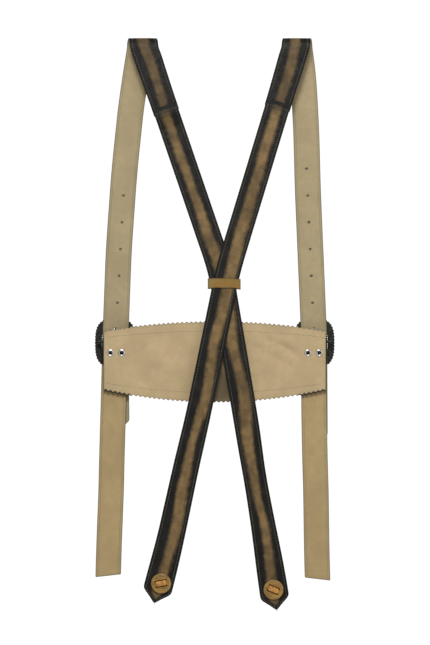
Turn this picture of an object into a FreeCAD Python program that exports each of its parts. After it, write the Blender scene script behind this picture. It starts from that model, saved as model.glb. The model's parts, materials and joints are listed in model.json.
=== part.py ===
"""Leather trouser braces with a chest bar, hanging from the folds of their shoulder straps.

Millimetres. +X is to the right as seen from behind the wearer, +Y points from the wearer's back to
the front, +Z is up. The origin is at the middle of the width, on the crest inside the folds.
Each strap is two layers: face leather outside, suede lining inside. A back strap is named after the
shoulder that it starts from, and it ends on the other side.
"""

import FreeCAD, Part
import math
import os

V = FreeCAD.Vector
SIDES = {"left": -1, "right": 1}

# ---------------------------------------------------------------- driving dimensions

DIMENSIONS = [
    # leather
    ("face_thick", 1.8, "face leather"),
    ("lining_thick", 1.2, "suede lining"),
    ("strap_width", 30.0, "shoulder and lower straps"),
    ("back_width", 28.5, "back straps"),
    ("layer_gap", 0.3, "air between layers that move apart"),
    ("flex_gap", 1.2, "half the gap left at a strap's bend line"),
    ("tail_room", 1.6, "air between the lower strap and the strap end laid over it"),
    # shoulder folds
    ("fold_radius", 8.0, "inside of the fold"),
    ("left_fold_x", -84.0, "middle of the fold"),
    ("right_fold_x", 95.0, "middle of the fold"),
    ("left_seam_drop", 84.0, "seam to the back strap, below the crest"),
    ("right_seam_drop", 79.0, "seam to the back strap, below the crest"),
    # front of the shoulder straps
    ("left_front_x", -104.0, "middle of the strap at its slight bend"),
    ("right_front_x", 104.0, "middle of the strap at its slight bend"),
    ("left_front_drop", 149.0, "slight bend below the crest"),
    ("right_front_drop", 114.0, "slight bend below the crest"),
    ("left_end_x", -113.0, "middle of the strap's cut end"),
    ("right_end_x", 114.0, "middle of the strap's cut end"),
    ("end_below_axis", 95.5, "middle of the slanted cut end below the buckle's axis"),
    ("end_slant", 25.0, "outer corner of the cut end below the inner one"),
    # adjustment holes
    ("hole_radius", 1.25, "adjustment holes"),
    ("hole_pitch", 30.9, "from hole to hole"),
    ("hole_rise", 45.0, "lowest free hole above the buckle's axis"),
    ("left_hole_count", 5, "free holes"),
    ("right_hole_count", 6, "free holes"),
    # back straps
    ("cross_drop", 264.0, "bend of both straps just above their crossing"),
    ("left_cross_x", 6.3, "middle of the strap at that bend"),
    ("right_cross_x", 15.0, "middle of the strap at that bend"),
    ("tail_drop", 430.0, "bend line of the loose ends below the crest"),
    ("left_tail_x", 34.4, "middle of the strap at its bend line"),
    ("right_tail_x", -19.2, "middle of the strap at its bend line"),
    ("left_tip_x", 70.8, "point of the strap"),
    ("right_tip_x", -69.6, "point of the strap"),
    ("left_tip_drop", 653.4, "point of the strap below the crest"),
    ("right_tip_drop", 645.1, "point of the strap below the crest"),
    ("arrow_length", 13.5, "length of the arrow point"),
    # keeper
    ("keeper_drop", 279.6, "middle of the loop below the crest"),
    ("keeper_height", 13.0, "height of the loop"),
    ("keeper_wall", 1.3, "suede thickness"),
    ("keeper_room", 0.8, "room at each side of the crossed straps"),
    # tip buttons and their laces
    ("button_radius", 11.5, "disc"),
    ("button_thick", 3.0, "disc"),
    ("button_edge", 0.8, "rounding of the disc's rim"),
    ("button_inset", 23.5, "disc's centre from the strap's point"),
    ("left_button_side", 0.0, "disc's centre to the right of the strap's middle"),
    ("right_button_side", 2.6, "disc's centre to the right of the strap's middle"),
    ("slot_spacing", 6.2, "between the two slots"),
    ("slot_length", 13.5, "slot"),
    ("lace_thick", 1.2, "lace"),
    ("lace_room", 0.2, "room round the lace in its slots"),
    ("left_button_turn", 22.0, "slots against level, degrees"),
    ("right_button_turn", -9.0, "slots against level, degrees"),
    # chest bar
    ("bar_overhang", 13.0, "beyond the middle of each buckle"),
    ("bar_end_height", 69.0, "height of the straight ends"),
    ("bar_above_axis", 13.5, "upper corners above the buckle's axis"),
    ("bar_rise", 10.5, "crown of the upper edge"),
    ("bar_belly", 14.4, "belly of the lower edge"),
    ("bar_face_thick", 1.6, "face leather"),
    # buckles
    ("left_buckle_x", -115.0, "middle of the buckle"),
    ("right_buckle_x", 114.5, "middle of the buckle"),
    ("buckle_drop", 346.5, "hinge axis below the crest"),
    ("strap_room", 2.5, "beside the strap inside the frame"),
    ("frame_height", 53.0, "frame"),
    ("frame_thick", 3.5, "frame"),
    ("frame_step", 3.0, "width of each step of the frame's outline"),
    ("frame_step_height", 5.0, "height of each step"),
    ("side_rail", 6.0, "frame beside the strap"),
    ("end_rail", 8.0, "frame above and below the strap"),
    ("frame_room", 1.6, "air between the strap's face and the frame"),
    ("lug_width", 3.0, "ear that holds the centre bar"),
    ("centre_bar_radius", 1.5, "centre bar"),
    ("prong_radius", 1.1, "prong"),
    ("prong_eye", 1.7, "metal round the centre bar"),
    ("prong_width", 3.6, "eye along the bar"),
    ("prong_room", 0.05, "running clearance on the bar"),
    ("prong_slot", 4.4, "slot in the straps for the prong"),
    ("prong_swing", 20.0, "degrees the prong's slot lets it swing"),
    # where the straps pass over the buckle's axis
    ("ramp_start", 1.5, "level stretch beside the axis"),
    ("ramp_end", 7.0, "foot of the ramp below the axis"),
    ("ramp_radius", 4.0, "rounding of the ramp"),
    # eyelets
    ("eyelet_bore", 2.0, "radius of the hole"),
    ("eyelet_barrel", 2.5, "outer radius of the barrel"),
    ("eyelet_flange", 4.0, "outer radius of the flange"),
    ("eyelet_flange_thick", 0.6, "flange"),
    ("eyelet_spacing", 13.0, "between the two eyelets"),
    ("eyelet_inset", 1.2, "middle of the pair, inwards from the buckle's middle"),
    ("eyelet_room", 1.6, "between the flange and the ramp of the strap"),
    # lower straps
    ("loop_margin", 9.0, "folded-back end below the eyelets' flanges"),
    ("lower_flex_below_axis", 125.5, "bend line below the buckle's axis"),
    ("left_lower_x", -122.0, "middle of the cut end"),
    ("right_lower_x", 118.5, "middle of the cut end"),
    ("left_lower_drop", 613.0, "cut end below the crest"),
    ("right_lower_drop", 617.0, "cut end below the crest"),
]

doc = FreeCAD.newDocument("braces")
sheet = doc.addObject("Spreadsheet::Sheet", "sizes")
for row, (alias, value, note) in enumerate(DIMENSIONS, start=1):
    sheet.set(f"A{row}", alias)
    sheet.set(f"B{row}", str(value))
    sheet.setAlias(f"B{row}", alias)
    sheet.set(f"C{row}", note)
doc.recompute()


def size(alias):
    """A driving dimension, as the sheet holds it."""
    return float(sheet.get(alias))


# ---------------------------------------------------------------- levels worked out from them

STRAP = size("face_thick") + size("lining_thick")
FRONT_Y = size("fold_radius") + STRAP / 2          # mid-plane of the front straps
BACK_Y = -FRONT_Y                                  # mid-plane of the back straps
AXIS_Z = -size("buckle_drop")
LOWER_Y = FRONT_Y - STRAP - size("tail_room")      # mid-plane of the lower straps
LOOP_RADIUS = size("centre_bar_radius") + size("layer_gap") + STRAP / 2
LOOP_BACK_Y = LOWER_Y - STRAP - size("layer_gap")  # mid-plane of the folded-back end
AXIS_Y = LOOP_BACK_Y + LOOP_RADIUS                 # buckle's hinge axis
LOOP_FRONT_Y = AXIS_Y + LOOP_RADIUS
OVER_LOOP_Y = LOOP_FRONT_Y + STRAP + size("layer_gap")
FRAME_Y = FRONT_Y + STRAP / 2 + size("frame_room")
RAMP_START = size("ramp_start")
RAMP_END = size("ramp_end")
RAMP_RADIUS = size("ramp_radius")
EYELET_Z = AXIS_Z - RAMP_END - size("eyelet_room") - size("eyelet_flange")
LOOP_END_Z = EYELET_Z - size("eyelet_flange") - size("loop_margin")
END_Z = AXIS_Z - size("end_below_axis")
LOWER_FLEX_Z = AXIS_Z - size("lower_flex_below_axis")
BAR_LEFT = size("left_buckle_x") - size("bar_overhang")
BAR_RIGHT = size("right_buckle_x") + size("bar_overhang")
LAYERS = {
    "face": (-STRAP / 2, -STRAP / 2 + size("face_thick")),
    "lining": (-STRAP / 2 + size("face_thick"), STRAP / 2),
}


# ---------------------------------------------------------------- making strap solids


def put(label, shape):
    """A sub-part whose solid comes from Part's own functions."""
    part = doc.addObject("Part::Feature", label)
    part.Label = label
    part.Shape = shape
    part.Placement = shape.Placement
    return part


def offset_edges(path, offset):
    """Edges of a path in the YZ plane, moved by offset to the left of its direction.

    path is a list of (y, z, radius): its ends have radius 0 and every other point is rounded."""
    points = [V(0, y, z) for y, z, _ in path]
    radii = [radius for _, _, radius in path]
    edges = []
    here = None
    for i, point in enumerate(points):
        if radii[i] == 0:
            along = points[1] - points[0] if i == 0 else points[-1] - points[-2]
            along.normalize()
            spot = point + V(0, -along.z, along.y) * offset
            if here is not None:
                edges.append(Part.LineSegment(here, spot).toShape())
            here = spot
            continue
        into = (point - points[i - 1]).normalize()
        out = (points[i + 1] - point).normalize()
        turn = math.atan2(into.y * out.z - into.z * out.y, into.dot(out))
        sign = 1 if turn > 0 else -1
        reach = radii[i] * math.tan(abs(turn) / 2)
        start = point - into * reach
        centre = start + V(0, -into.z, into.y) * (sign * radii[i])
        scale = (radii[i] - sign * offset) / radii[i]
        middle = centre + (point - centre).normalize() * radii[i] * scale
        first = centre + (start - centre) * scale
        last = centre + (point + out * reach - centre) * scale
        if here is not None and (first - here).Length > 1e-6:
            edges.append(Part.LineSegment(here, first).toShape())
        edges.append(Part.Arc(first, middle, last).toShape())
        here = last
    return edges


def band(path, layer, reach):
    """One layer of a strap that follows path in the YZ plane, reach wide to each side of X = 0."""
    near, far = (offset_edges(path, offset) for offset in LAYERS[layer])
    ends = [
        Part.LineSegment(near[0].Vertexes[0].Point, far[0].Vertexes[0].Point).toShape(),
        Part.LineSegment(near[-1].Vertexes[-1].Point, far[-1].Vertexes[-1].Point).toShape(),
    ]
    wire = Part.Wire(Part.__sortEdges__(near + far + ends))
    face = Part.Face(wire)
    face.translate(V(-reach, 0, 0))
    return face.extrude(V(2 * reach, 0, 0))


def side_points(line, width, side):
    """The points of one edge of a strap whose middle follows line, a list of (x, z)."""
    points = [V(x, 0, z) for x, z in line]
    steps = [(b - a).normalize() for a, b in zip(points, points[1:])]
    found = []
    for point, into, out in zip(points, steps[:1] + steps, steps + steps[-1:]):
        mitre = (into + out).normalize()
        across = V(mitre.z, 0, -mitre.x)
        found.append(point + across * (side * width / 2 / max(across.dot(V(out.z, 0, -out.x)), 0.5)))
    return found


def outline(line, width, tip=None):
    """A strap's outline in the XZ plane, with an arrow point or not."""
    edge = side_points(line, width, 1)
    other = side_points(line, width, -1)
    return edge + ([tip] if tip else []) + other[::-1]


def plan(points, reach=60.0):
    """The prism over an outline, reach deep to each side of Y = 0."""
    wire = Part.makePolygon(points + points[:1])
    face = Part.Face(wire)
    face.translate(V(0, -reach, 0))
    return face.extrude(V(0, 2 * reach, 0))


def hole(x, z, radius, reach=60.0):
    return Part.makeCylinder(radius, 2 * reach, V(x, -reach, z), V(0, 1, 0))


def at_height(line, z):
    """X of a line of (x, z) points at a height."""
    for (x0, z0), (x1, z1) in zip(line, line[1:]):
        if min(z0, z1) <= z <= max(z0, z1):
            return x0 + (x1 - x0) * (z - z0) / (z1 - z0)
    raise ValueError(f"no point of the line at {z}")


REACH = BAR_RIGHT - BAR_LEFT


# ---------------------------------------------------------------- shoulder straps


def front_line(side):
    """Middle of a shoulder strap in front, from the fold down to its cut end."""
    return [
        (size(f"{side}_fold_x"), 0.0),
        (size(f"{side}_front_x"), -size(f"{side}_front_drop")),
        (size(f"{side}_buckle_x"), AXIS_Z),
        (size(f"{side}_end_x"), END_Z - size("end_slant") / 2),
    ]


def back_line(side):
    """Middle of a back strap, from the fold down to its point."""
    return [
        (size(f"{side}_fold_x"), 0.0),
        (size(f"{side}_cross_x"), -size("cross_drop")),
        (size(f"{side}_tail_x"), -size("tail_drop")),
        (size(f"{side}_tip_x"), -size(f"{side}_tip_drop")),
    ]


def prong_slot(side, low, high):
    """The slot that lets the prong through, between two heights over the hinge axis."""
    width = size("prong_slot")
    corner = V(size(f"{side}_buckle_x") - width / 2, -REACH, AXIS_Z + low)
    return Part.makeBox(width, 2 * REACH, high - low, corner)


def prong_angle():
    """The prong's angle from upright at rest: it clears the front edge of the frame's upper rail."""
    out = FRAME_Y + size("frame_thick") - AXIS_Y
    up = size("frame_height") / 2 - size("end_rail")
    clear = size("prong_radius") + size("layer_gap")
    return math.atan2(out, up) + math.asin(clear / math.hypot(out, up))


def prong_window():
    """Lowest and highest point of the slot that the shoulder strap needs for the prong."""
    radius = size("prong_radius") + size("layer_gap")
    near = OVER_LOOP_Y - STRAP / 2 - AXIS_Y
    far = OVER_LOOP_Y + STRAP / 2 - AXIS_Y
    leant = prong_angle() + math.radians(size("prong_swing"))
    low = near / math.tan(leant) - radius / math.sin(leant)
    high = far / math.tan(prong_angle()) + radius / math.sin(prong_angle())
    return low, high


def make_shoulder_strap(side):
    width = size("strap_width")
    crest = -size("fold_radius")
    end = END_Z
    slant = SIDES[side] * size("end_slant") / width
    line = front_line(side)
    paths = {
        "front": [
            (FRONT_Y, end - size("end_slant"), 0),
            (FRONT_Y, AXIS_Z - RAMP_END, RAMP_RADIUS),
            (OVER_LOOP_Y, AXIS_Z - RAMP_START, RAMP_RADIUS),
            (OVER_LOOP_Y, AXIS_Z + RAMP_START, RAMP_RADIUS),
            (FRONT_Y, AXIS_Z + RAMP_END, RAMP_RADIUS),
            (FRONT_Y, crest, 0),
        ],
        "fold": [
            (FRONT_Y, crest, 0),
            (FRONT_Y, crest + FRONT_Y, FRONT_Y),
            (BACK_Y, crest + FRONT_Y, FRONT_Y),
            (BACK_Y, crest, 0),
        ],
        "back": [(BACK_Y, crest, 0), (BACK_Y, -size(f"{side}_seam_drop"), 0)],
    }
    front = outline(line, width)
    bottom_x = size(f"{side}_end_x")
    cut = [
        V(bottom_x - 2 * width, 0, end - 2 * size("end_slant")),
        V(bottom_x - 2 * width, 0, end + 2 * slant * width),
        V(bottom_x + 2 * width, 0, end - 2 * slant * width),
        V(bottom_x + 2 * width, 0, end - 2 * size("end_slant")),
    ]
    fold_x = size(f"{side}_fold_x")
    lift = size("fold_radius") + 2 * STRAP
    plans = {
        "front": plan(front),
        "fold": plan(outline([(fold_x, lift), (fold_x, crest)], width)),
        "back": plan(outline(back_line(side)[:2], width)),
    }
    low, high = prong_window()
    cuts = [prong_slot(side, low, high), plan(cut)]
    for i in range(int(size(f"{side}_hole_count"))):
        z = AXIS_Z + size("hole_rise") + i * size("hole_pitch")
        cuts.append(hole(at_height(line, z), z, size("hole_radius")))
    for layer in LAYERS:
        for piece, path in paths.items():
            solid = band(path, layer, REACH).common(plans[piece])
            if piece == "front":
                solid = solid.cut(cuts)
            put(f"{side}_shoulder_{layer}_{piece}", solid)


# ---------------------------------------------------------------- back straps


def cross_shift(side):
    """How far a back strap's level lies off the other's: the right one passes outside the left."""
    return -(STRAP + size("layer_gap")) if side == "right" else 0.0


def tip_frame(side):
    """The button's centre near a back strap's middle line, and the strap's direction there."""
    (x0, z0), (x1, z1) = back_line(side)[-2:]
    along = V(x1 - x0, 0, z1 - z0).normalize()
    across = V(-along.z, 0, along.x)
    centre = V(x1, 0, z1) - along * size("button_inset") + across * size(f"{side}_button_side")
    return centre, along


def lace_slots(side, grow):
    """The two slots of a tip button, each grown all round, as one compound at the disc's place."""
    centre, _ = tip_frame(side)
    length = size("slot_length") + 2 * grow
    thick = size("lace_thick") + 2 * grow
    slots = []
    for place in (-1, 1):
        z = place * size("slot_spacing") / 2 - thick / 2
        slots.append(Part.makeBox(length, 2 * REACH, thick, V(-length / 2, -REACH, z)))
    both = Part.makeCompound(slots)
    both.rotate(V(0, 0, 0), V(0, 1, 0), size(f"{side}_button_turn"))
    both.translate(centre)
    return both


def make_back_strap(side):
    width = size("back_width")
    seam = -size(f"{side}_seam_drop")
    bend = -size("tail_drop")
    tip_x, tip_z = back_line(side)[-1]
    _, along = tip_frame(side)
    neck = V(tip_x, 0, tip_z) - along * size("arrow_length")
    level = BACK_Y + cross_shift(side)
    ramp = (seam - size("cross_drop")) / 2
    paths = {
        "upper": [
            (BACK_Y, seam, 0),
            (BACK_Y, seam - 2 * RAMP_END, REACH),
            (level, ramp - 2 * RAMP_END, REACH),
            (level, bend + size("flex_gap"), 0),
        ],
        "tail": [(level, bend - size("flex_gap"), 0), (level, tip_z - STRAP, 0)],
    }
    if level == BACK_Y:
        paths["upper"] = [(BACK_Y, seam, 0), (BACK_Y, bend + size("flex_gap"), 0)]
    line = back_line(side)[:-1] + [(neck.x, neck.z)]
    shape = plan(outline(line, width, V(tip_x, 0, tip_z)))
    slots = lace_slots(side, size("lace_room"))
    for layer in LAYERS:
        for piece, path in paths.items():
            solid = band(path, layer, REACH).common(shape)
            if piece == "tail":
                solid = solid.cut(slots)
            put(f"{side}_back_{layer}_{piece}", solid)


# ---------------------------------------------------------------- lower straps


def lower_line(side):
    """Middle of a lower strap, from the buckle's axis down to its cut end."""
    return [
        (size(f"{side}_buckle_x"), AXIS_Z + 2 * LOOP_RADIUS),
        (size(f"{side}_buckle_x"), AXIS_Z),
        (size(f"{side}_lower_x"), -size(f"{side}_lower_drop")),
    ]


def eyelet_spots(side):
    middle = size(f"{side}_buckle_x") - SIDES[side] * size("eyelet_inset")
    half = size("eyelet_spacing") / 2
    return [(middle + place * half, EYELET_Z) for place in (-1, 1)]


def make_lower_strap(side):
    bend = LOWER_FLEX_Z
    end = -size(f"{side}_lower_drop")
    top = AXIS_Z + LOOP_RADIUS
    paths = {
        "upper": [
            (LOWER_Y, bend + size("flex_gap"), 0),
            (LOWER_Y, AXIS_Z - RAMP_END, RAMP_RADIUS),
            (LOOP_FRONT_Y, AXIS_Z - RAMP_START, RAMP_RADIUS),
            (LOOP_FRONT_Y, top, LOOP_RADIUS),
            (LOOP_BACK_Y, top, LOOP_RADIUS),
            (LOOP_BACK_Y, LOOP_END_Z, 0),
        ],
        "end": [(LOWER_Y, end - STRAP, 0), (LOWER_Y, bend - size("flex_gap"), 0)],
    }
    shape = plan(outline(lower_line(side), size("strap_width") - 2 * size("layer_gap")))
    eye = size("centre_bar_radius") + size("prong_room") + size("prong_eye") + size("layer_gap")
    cuts = [prong_slot(side, -eye, LOOP_RADIUS + STRAP)]
    cuts += [hole(x, z, size("eyelet_barrel")) for x, z in eyelet_spots(side)]
    for layer in LAYERS:
        for piece, path in paths.items():
            solid = band(path, layer, REACH).common(shape)
            if piece == "upper":
                solid = solid.cut(cuts)
            put(f"{side}_lower_{layer}_{piece}", solid)


# ---------------------------------------------------------------- bound primitives


def bind(item, **cells):
    """Binds properties of a document object to expressions over the sheet."""
    for name, expression in cells.items():
        item.setExpression(name.replace("__", "."), expression)
    return item


def place(item, x, y, z):
    return bind(item, Placement__Base__x=x, Placement__Base__y=y, Placement__Base__z=z)


def box(name, length, width, height, x, y, z):
    """A Part::Box whose sizes and lowest corner are expressions."""
    item = bind(doc.addObject("Part::Box", name), Length=length, Width=width, Height=height)
    return place(item, x, y, z)


def along_y(name, radius, height, x, y, z):
    """A Part::Cylinder whose axis points along +Y."""
    item = bind(doc.addObject("Part::Cylinder", name), Radius=radius, Height=height)
    item.Placement = FreeCAD.Placement(V(0, 0, 0), FreeCAD.Rotation(V(1, 0, 0), -90))
    return place(item, x, y, z)


def cut(label, base, tool):
    item = doc.addObject("Part::Cut", label)
    item.Label = label
    item.Base = base
    item.Tool = tool
    return item


def fuse(label, items):
    item = doc.addObject("Part::MultiFuse", label)
    item.Label = label
    item.Shapes = items
    return item


def group(label, items):
    item = doc.addObject("Part::Compound", label)
    item.Label = label
    item.Links = items
    return item


THICK = "(sizes.face_thick + sizes.lining_thick)"
FACE_PLANE = f"(sizes.fold_radius + {THICK})"                      # front straps' outer face
LOWER_FACE = f"(sizes.fold_radius - sizes.tail_room)"              # lower straps' outer face
LOOP_FACE = f"({LOWER_FACE} - 2 * {THICK} - sizes.layer_gap)"      # outside of the folded end
AXIS = f"({LOOP_FACE} + {THICK} + sizes.centre_bar_radius + sizes.layer_gap)"
FRAME_BACK = f"({FACE_PLANE} + sizes.frame_room)"
BAR_BACK = f"({LOOP_FACE} - sizes.bar_face_thick - sizes.lining_thick)"


# ---------------------------------------------------------------- keeper


def make_keeper():
    """A closed loop round both back straps, as wide as they are together at its upper edge."""
    drop = size("keeper_drop") - size("keeper_height") / 2
    width = size("back_width")
    edges = []
    for side in SIDES:
        line = back_line(side)
        for z in (-drop, -drop - size("keeper_height")):
            first = 0 if z > -size("cross_drop") else 1
            (x0, z0), (x1, z1) = line[first], line[first + 1]
            half = width / 2 * math.hypot(x1 - x0, z1 - z0) / abs(z1 - z0)
            middle = at_height(line, z)
            edges += [middle - half, middle + half]
    low = min(edges) - size("keeper_room")
    high = max(edges) + size("keeper_room")
    wall = size("keeper_wall")
    depth = 2 * STRAP + 3 * size("layer_gap")
    near = BACK_Y + cross_shift("right") - STRAP / 2 - size("layer_gap")
    base = -drop - size("keeper_height")
    outer = Part.makeBox(high - low + 2 * wall, depth + 2 * wall, size("keeper_height"),
                         V(low - wall, near - wall, base))
    upright = [e for e in outer.Edges if abs(e.tangentAt(e.FirstParameter).z) > 0.9]
    outer = outer.makeFillet(1.5 * wall, upright)
    inner = Part.makeBox(high - low, depth, size("keeper_height"), V(low, near, base))
    put("cross_keeper", outer.cut(inner))


# ---------------------------------------------------------------- tip buttons and laces


def make_button(side):
    centre, _ = tip_frame(side)
    front = BACK_Y + cross_shift(side) - STRAP / 2
    disc = Part.makeCylinder(size("button_radius"), size("button_thick"),
                             V(0, front - size("button_thick"), 0), V(0, 1, 0))
    rim = [e for e in disc.Edges if e.Length > 6 * size("button_radius")
           and e.CenterOfMass.y < front - size("button_thick") / 2]
    disc = disc.makeFillet(size("button_edge"), rim)
    disc.translate(centre)
    put(f"{side}_tip_button", disc.cut(lace_slots(side, size("lace_room"))))


def make_lace(side):
    """A flat lace through both slots, over the disc in front and under the lining behind."""
    centre, _ = tip_frame(side)
    front = BACK_Y + cross_shift(side) - STRAP / 2 - size("button_thick")
    back = BACK_Y + cross_shift(side) + STRAP / 2
    thick = size("lace_thick")
    across = size("slot_spacing") + thick
    outer = Part.makeBox(size("slot_length"), back - front + 2 * thick, across,
                         V(-size("slot_length") / 2, front - thick, -across / 2))
    inner = Part.makeBox(size("slot_length"), back - front, across - 2 * thick,
                         V(-size("slot_length") / 2, front, -across / 2 + thick))
    lace = outer.cut(inner)
    lace.rotate(V(0, 0, 0), V(0, 1, 0), size(f"{side}_button_turn"))
    lace.translate(centre)
    put(f"{side}_button_lace", lace)


# ---------------------------------------------------------------- chest bar


def bar_sketch(body):
    """The bar's outline: two straight ends and two arcs."""
    sketch = body.newObject("Sketcher::SketchObject", body.Label + "_outline")
    plane = next(f for f in body.Origin.OriginFeatures if f.Role == "XZ_Plane")
    sketch.AttachmentSupport = [(plane, "")]
    sketch.MapMode = "FlatFace"
    middle = (BAR_LEFT + BAR_RIGHT) / 2
    top = AXIS_Z + size("bar_above_axis")
    low = top - size("bar_end_height")
    corners = [V(BAR_LEFT, top, 0), V(BAR_RIGHT, top, 0), V(BAR_RIGHT, low, 0), V(BAR_LEFT, low, 0)]
    crown = V(middle, top + size("bar_rise"), 0)
    belly = V(middle, low - size("bar_belly"), 0)
    sketch.addGeometry([
        Part.Arc(corners[0], crown, corners[1]),
        Part.LineSegment(corners[1], corners[2]),
        Part.Arc(corners[2], belly, corners[3]),
        Part.LineSegment(corners[3], corners[0]),
    ], False)
    return sketch


def make_bar_layer(label, thickness, back):
    """One layer of the chest bar, padded towards +Y from its back plane, with its eyelet holes."""
    body = doc.addObject("PartDesign::Body", label)
    body.Label = label
    sketch = bar_sketch(body)
    doc.recompute()
    pad = body.newObject("PartDesign::Pad", label + "_pad")
    pad.Profile = sketch
    pad.Reversed = True
    bind(pad, Length=thickness)
    holes = body.newObject("Sketcher::SketchObject", label + "_holes")
    plane = next(f for f in body.Origin.OriginFeatures if f.Role == "XZ_Plane")
    holes.AttachmentSupport = [(plane, "")]
    holes.MapMode = "FlatFace"
    for side in SIDES:
        for x, z in eyelet_spots(side):
            holes.addGeometry(Part.Circle(V(x, z, 0), V(0, 0, 1), size("eyelet_barrel")), False)
    pocket = body.newObject("PartDesign::Pocket", label + "_eyelet_holes")
    pocket.Profile = holes
    pocket.Type = "ThroughAll"
    pocket.Midplane = True
    bind(body, Placement__Base__y=back)
    return body


def make_chest_bar():
    middle = f"{BAR_BACK} + sizes.lining_thick"
    make_bar_layer("chest_bar_lining", "sizes.lining_thick", BAR_BACK)
    make_bar_layer("chest_bar_face", "sizes.bar_face_thick", middle)


# ---------------------------------------------------------------- eyelets


def make_eyelets(side):
    """Two flanged barrels from the bar's lining, and the washers they are set over in front."""
    barrels = []
    washers = []
    for number, sign in enumerate("-+"):
        inwards = "+" if side == "left" else "-"
        x = (f"sizes.{side}_buckle_x {inwards} sizes.eyelet_inset"
             f" {sign} sizes.eyelet_spacing / 2")
        z = "-sizes.buckle_drop - sizes.ramp_end - sizes.eyelet_room - sizes.eyelet_flange"
        name = f"{side}_{number}"
        start = f"{BAR_BACK} - sizes.eyelet_flange_thick"
        length = f"{LOWER_FACE} + sizes.eyelet_flange_thick - ({start})"
        thick = "sizes.eyelet_flange_thick"
        flange = along_y(f"flange_{name}", "sizes.eyelet_flange", thick, x, start, z)
        barrel = along_y(f"barrel_{name}", "sizes.eyelet_barrel", length, x, start, z)
        bore = along_y(f"bore_{name}", "sizes.eyelet_bore", length, x, start, z)
        washer = along_y(f"ring_{name}", "sizes.eyelet_flange", thick, x, LOWER_FACE, z)
        clear = along_y(f"clear_{name}", "sizes.eyelet_barrel", thick, x, LOWER_FACE, z)
        barrels.append(cut(f"eyelet_{name}", fuse(f"body_{name}", [flange, barrel]), bore))
        washers.append(cut(f"washer_{name}", washer, clear))
    group(f"{side}_eyelets", barrels)
    group(f"{side}_eyelet_washers", washers)


# ---------------------------------------------------------------- buckles


def middle_box(name, side, width, depth, height, y):
    """A box centred on the buckle's middle in X and on its hinge axis in Z."""
    return box(name, width, depth, height, f"sizes.{side}_buckle_x - ({width}) / 2", y,
               f"-sizes.buckle_drop - ({height}) / 2")


def make_buckle(side):
    """A stepped frame in front of the strap, with two ears that hold the centre bar."""
    steps = []
    window = "(sizes.strap_width + 2 * sizes.strap_room)"
    for number in range(3):
        width = f"{window} + 2 * sizes.side_rail - {2 * number} * sizes.frame_step"
        height = f"sizes.frame_height - {2 * (2 - number)} * sizes.frame_step_height"
        name = f"{side}_step_{number}"
        steps.append(middle_box(name, side, width, "sizes.frame_thick", height, FRAME_BACK))
    ear = "sizes.side_rail"
    depth = f"{FRAME_BACK} + sizes.frame_thick / 2 - {AXIS} + {ear} / 2"
    for number, edge in enumerate((f"-{window} / 2 - sizes.lug_width", f"{window} / 2")):
        steps.append(box(
            f"{side}_ear_{number}", "sizes.lug_width", depth, ear,
            f"sizes.{side}_buckle_x + {edge}", f"{AXIS} - {ear} / 2",
            f"-sizes.buckle_drop - {ear} / 2",
        ))
    opening = middle_box(f"{side}_opening", side, window, "2 * sizes.frame_thick",
                         "sizes.frame_height - 2 * sizes.end_rail", f"{FRAME_BACK} - sizes.frame_thick / 2")
    bar_bore = doc.addObject("Part::Cylinder", f"{side}_bar_bore")
    centre_bar = doc.addObject("Part::Cylinder", f"{side}_centre_bar")
    centre_bar.Label = f"{side}_centre_bar"
    for item in (bar_bore, centre_bar):
        item.Placement = FreeCAD.Placement(V(0, 0, 0), FreeCAD.Rotation(V(0, 1, 0), 90))
        bind(item, Radius="sizes.centre_bar_radius", Height=f"{window} + 2 * sizes.lug_width")
        place(item, f"sizes.{side}_buckle_x - {window} / 2 - sizes.lug_width", AXIS, "-sizes.buckle_drop")
    frame = cut(f"{side}_open_frame", fuse(f"{side}_frame_blank", steps), opening)
    cut(f"{side}_buckle_frame", frame, bar_bore)


def make_prong(side):
    """An eye on the centre bar and a straight pin that leans on the frame's upper rail."""
    x = size(f"{side}_buckle_x")
    eye_inner = size("centre_bar_radius") + size("prong_room")
    eye_outer = eye_inner + size("prong_eye")
    axis = V(1, 0, 0)
    start = V(x - size("prong_width") / 2, AXIS_Y, AXIS_Z)
    eye = Part.makeCylinder(eye_outer, size("prong_width"), start, axis)
    bore = Part.makeCylinder(eye_inner, size("prong_width"), start, axis)
    lean = prong_angle()
    direction = V(0, math.sin(lean), math.cos(lean))
    length = (size("frame_height") / 2) / math.cos(lean)
    centre = V(x, AXIS_Y, AXIS_Z)
    first = centre + direction * (eye_inner + size("prong_eye") / 2)
    pin = Part.makeCylinder(size("prong_radius"), length - (first - centre).Length, first, direction)
    tip = Part.makeSphere(size("prong_radius"), centre + direction * length)
    put(f"{side}_prong", eye.fuse([pin, tip]).cut(bore).removeSplitter())


# ---------------------------------------------------------------- build, check and write

for name in SIDES:
    make_shoulder_strap(name)
    make_back_strap(name)
    make_lower_strap(name)
    make_button(name)
    make_lace(name)
    make_eyelets(name)
    make_buckle(name)
    make_prong(name)
make_keeper()
make_chest_bar()
doc.recompute()

PARTS = ["cross_keeper", "chest_bar_face", "chest_bar_lining"]
for name in SIDES:
    PARTS += [f"{name}_shoulder_{layer}_{piece}" for layer in LAYERS for piece in ("front", "fold", "back")]
    PARTS += [f"{name}_back_{layer}_{piece}" for layer in LAYERS for piece in ("upper", "tail")]
    PARTS += [f"{name}_lower_{layer}_{piece}" for layer in LAYERS for piece in ("upper", "end")]
    PARTS += [f"{name}_tip_button", f"{name}_button_lace", f"{name}_eyelets", f"{name}_eyelet_washers"]
    PARTS += [f"{name}_buckle_frame", f"{name}_centre_bar", f"{name}_prong"]

for item in doc.Objects:
    if "Invalid" in item.State or "Error" in item.State:
        raise RuntimeError(f"{item.Label} failed: {item.State}")

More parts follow.
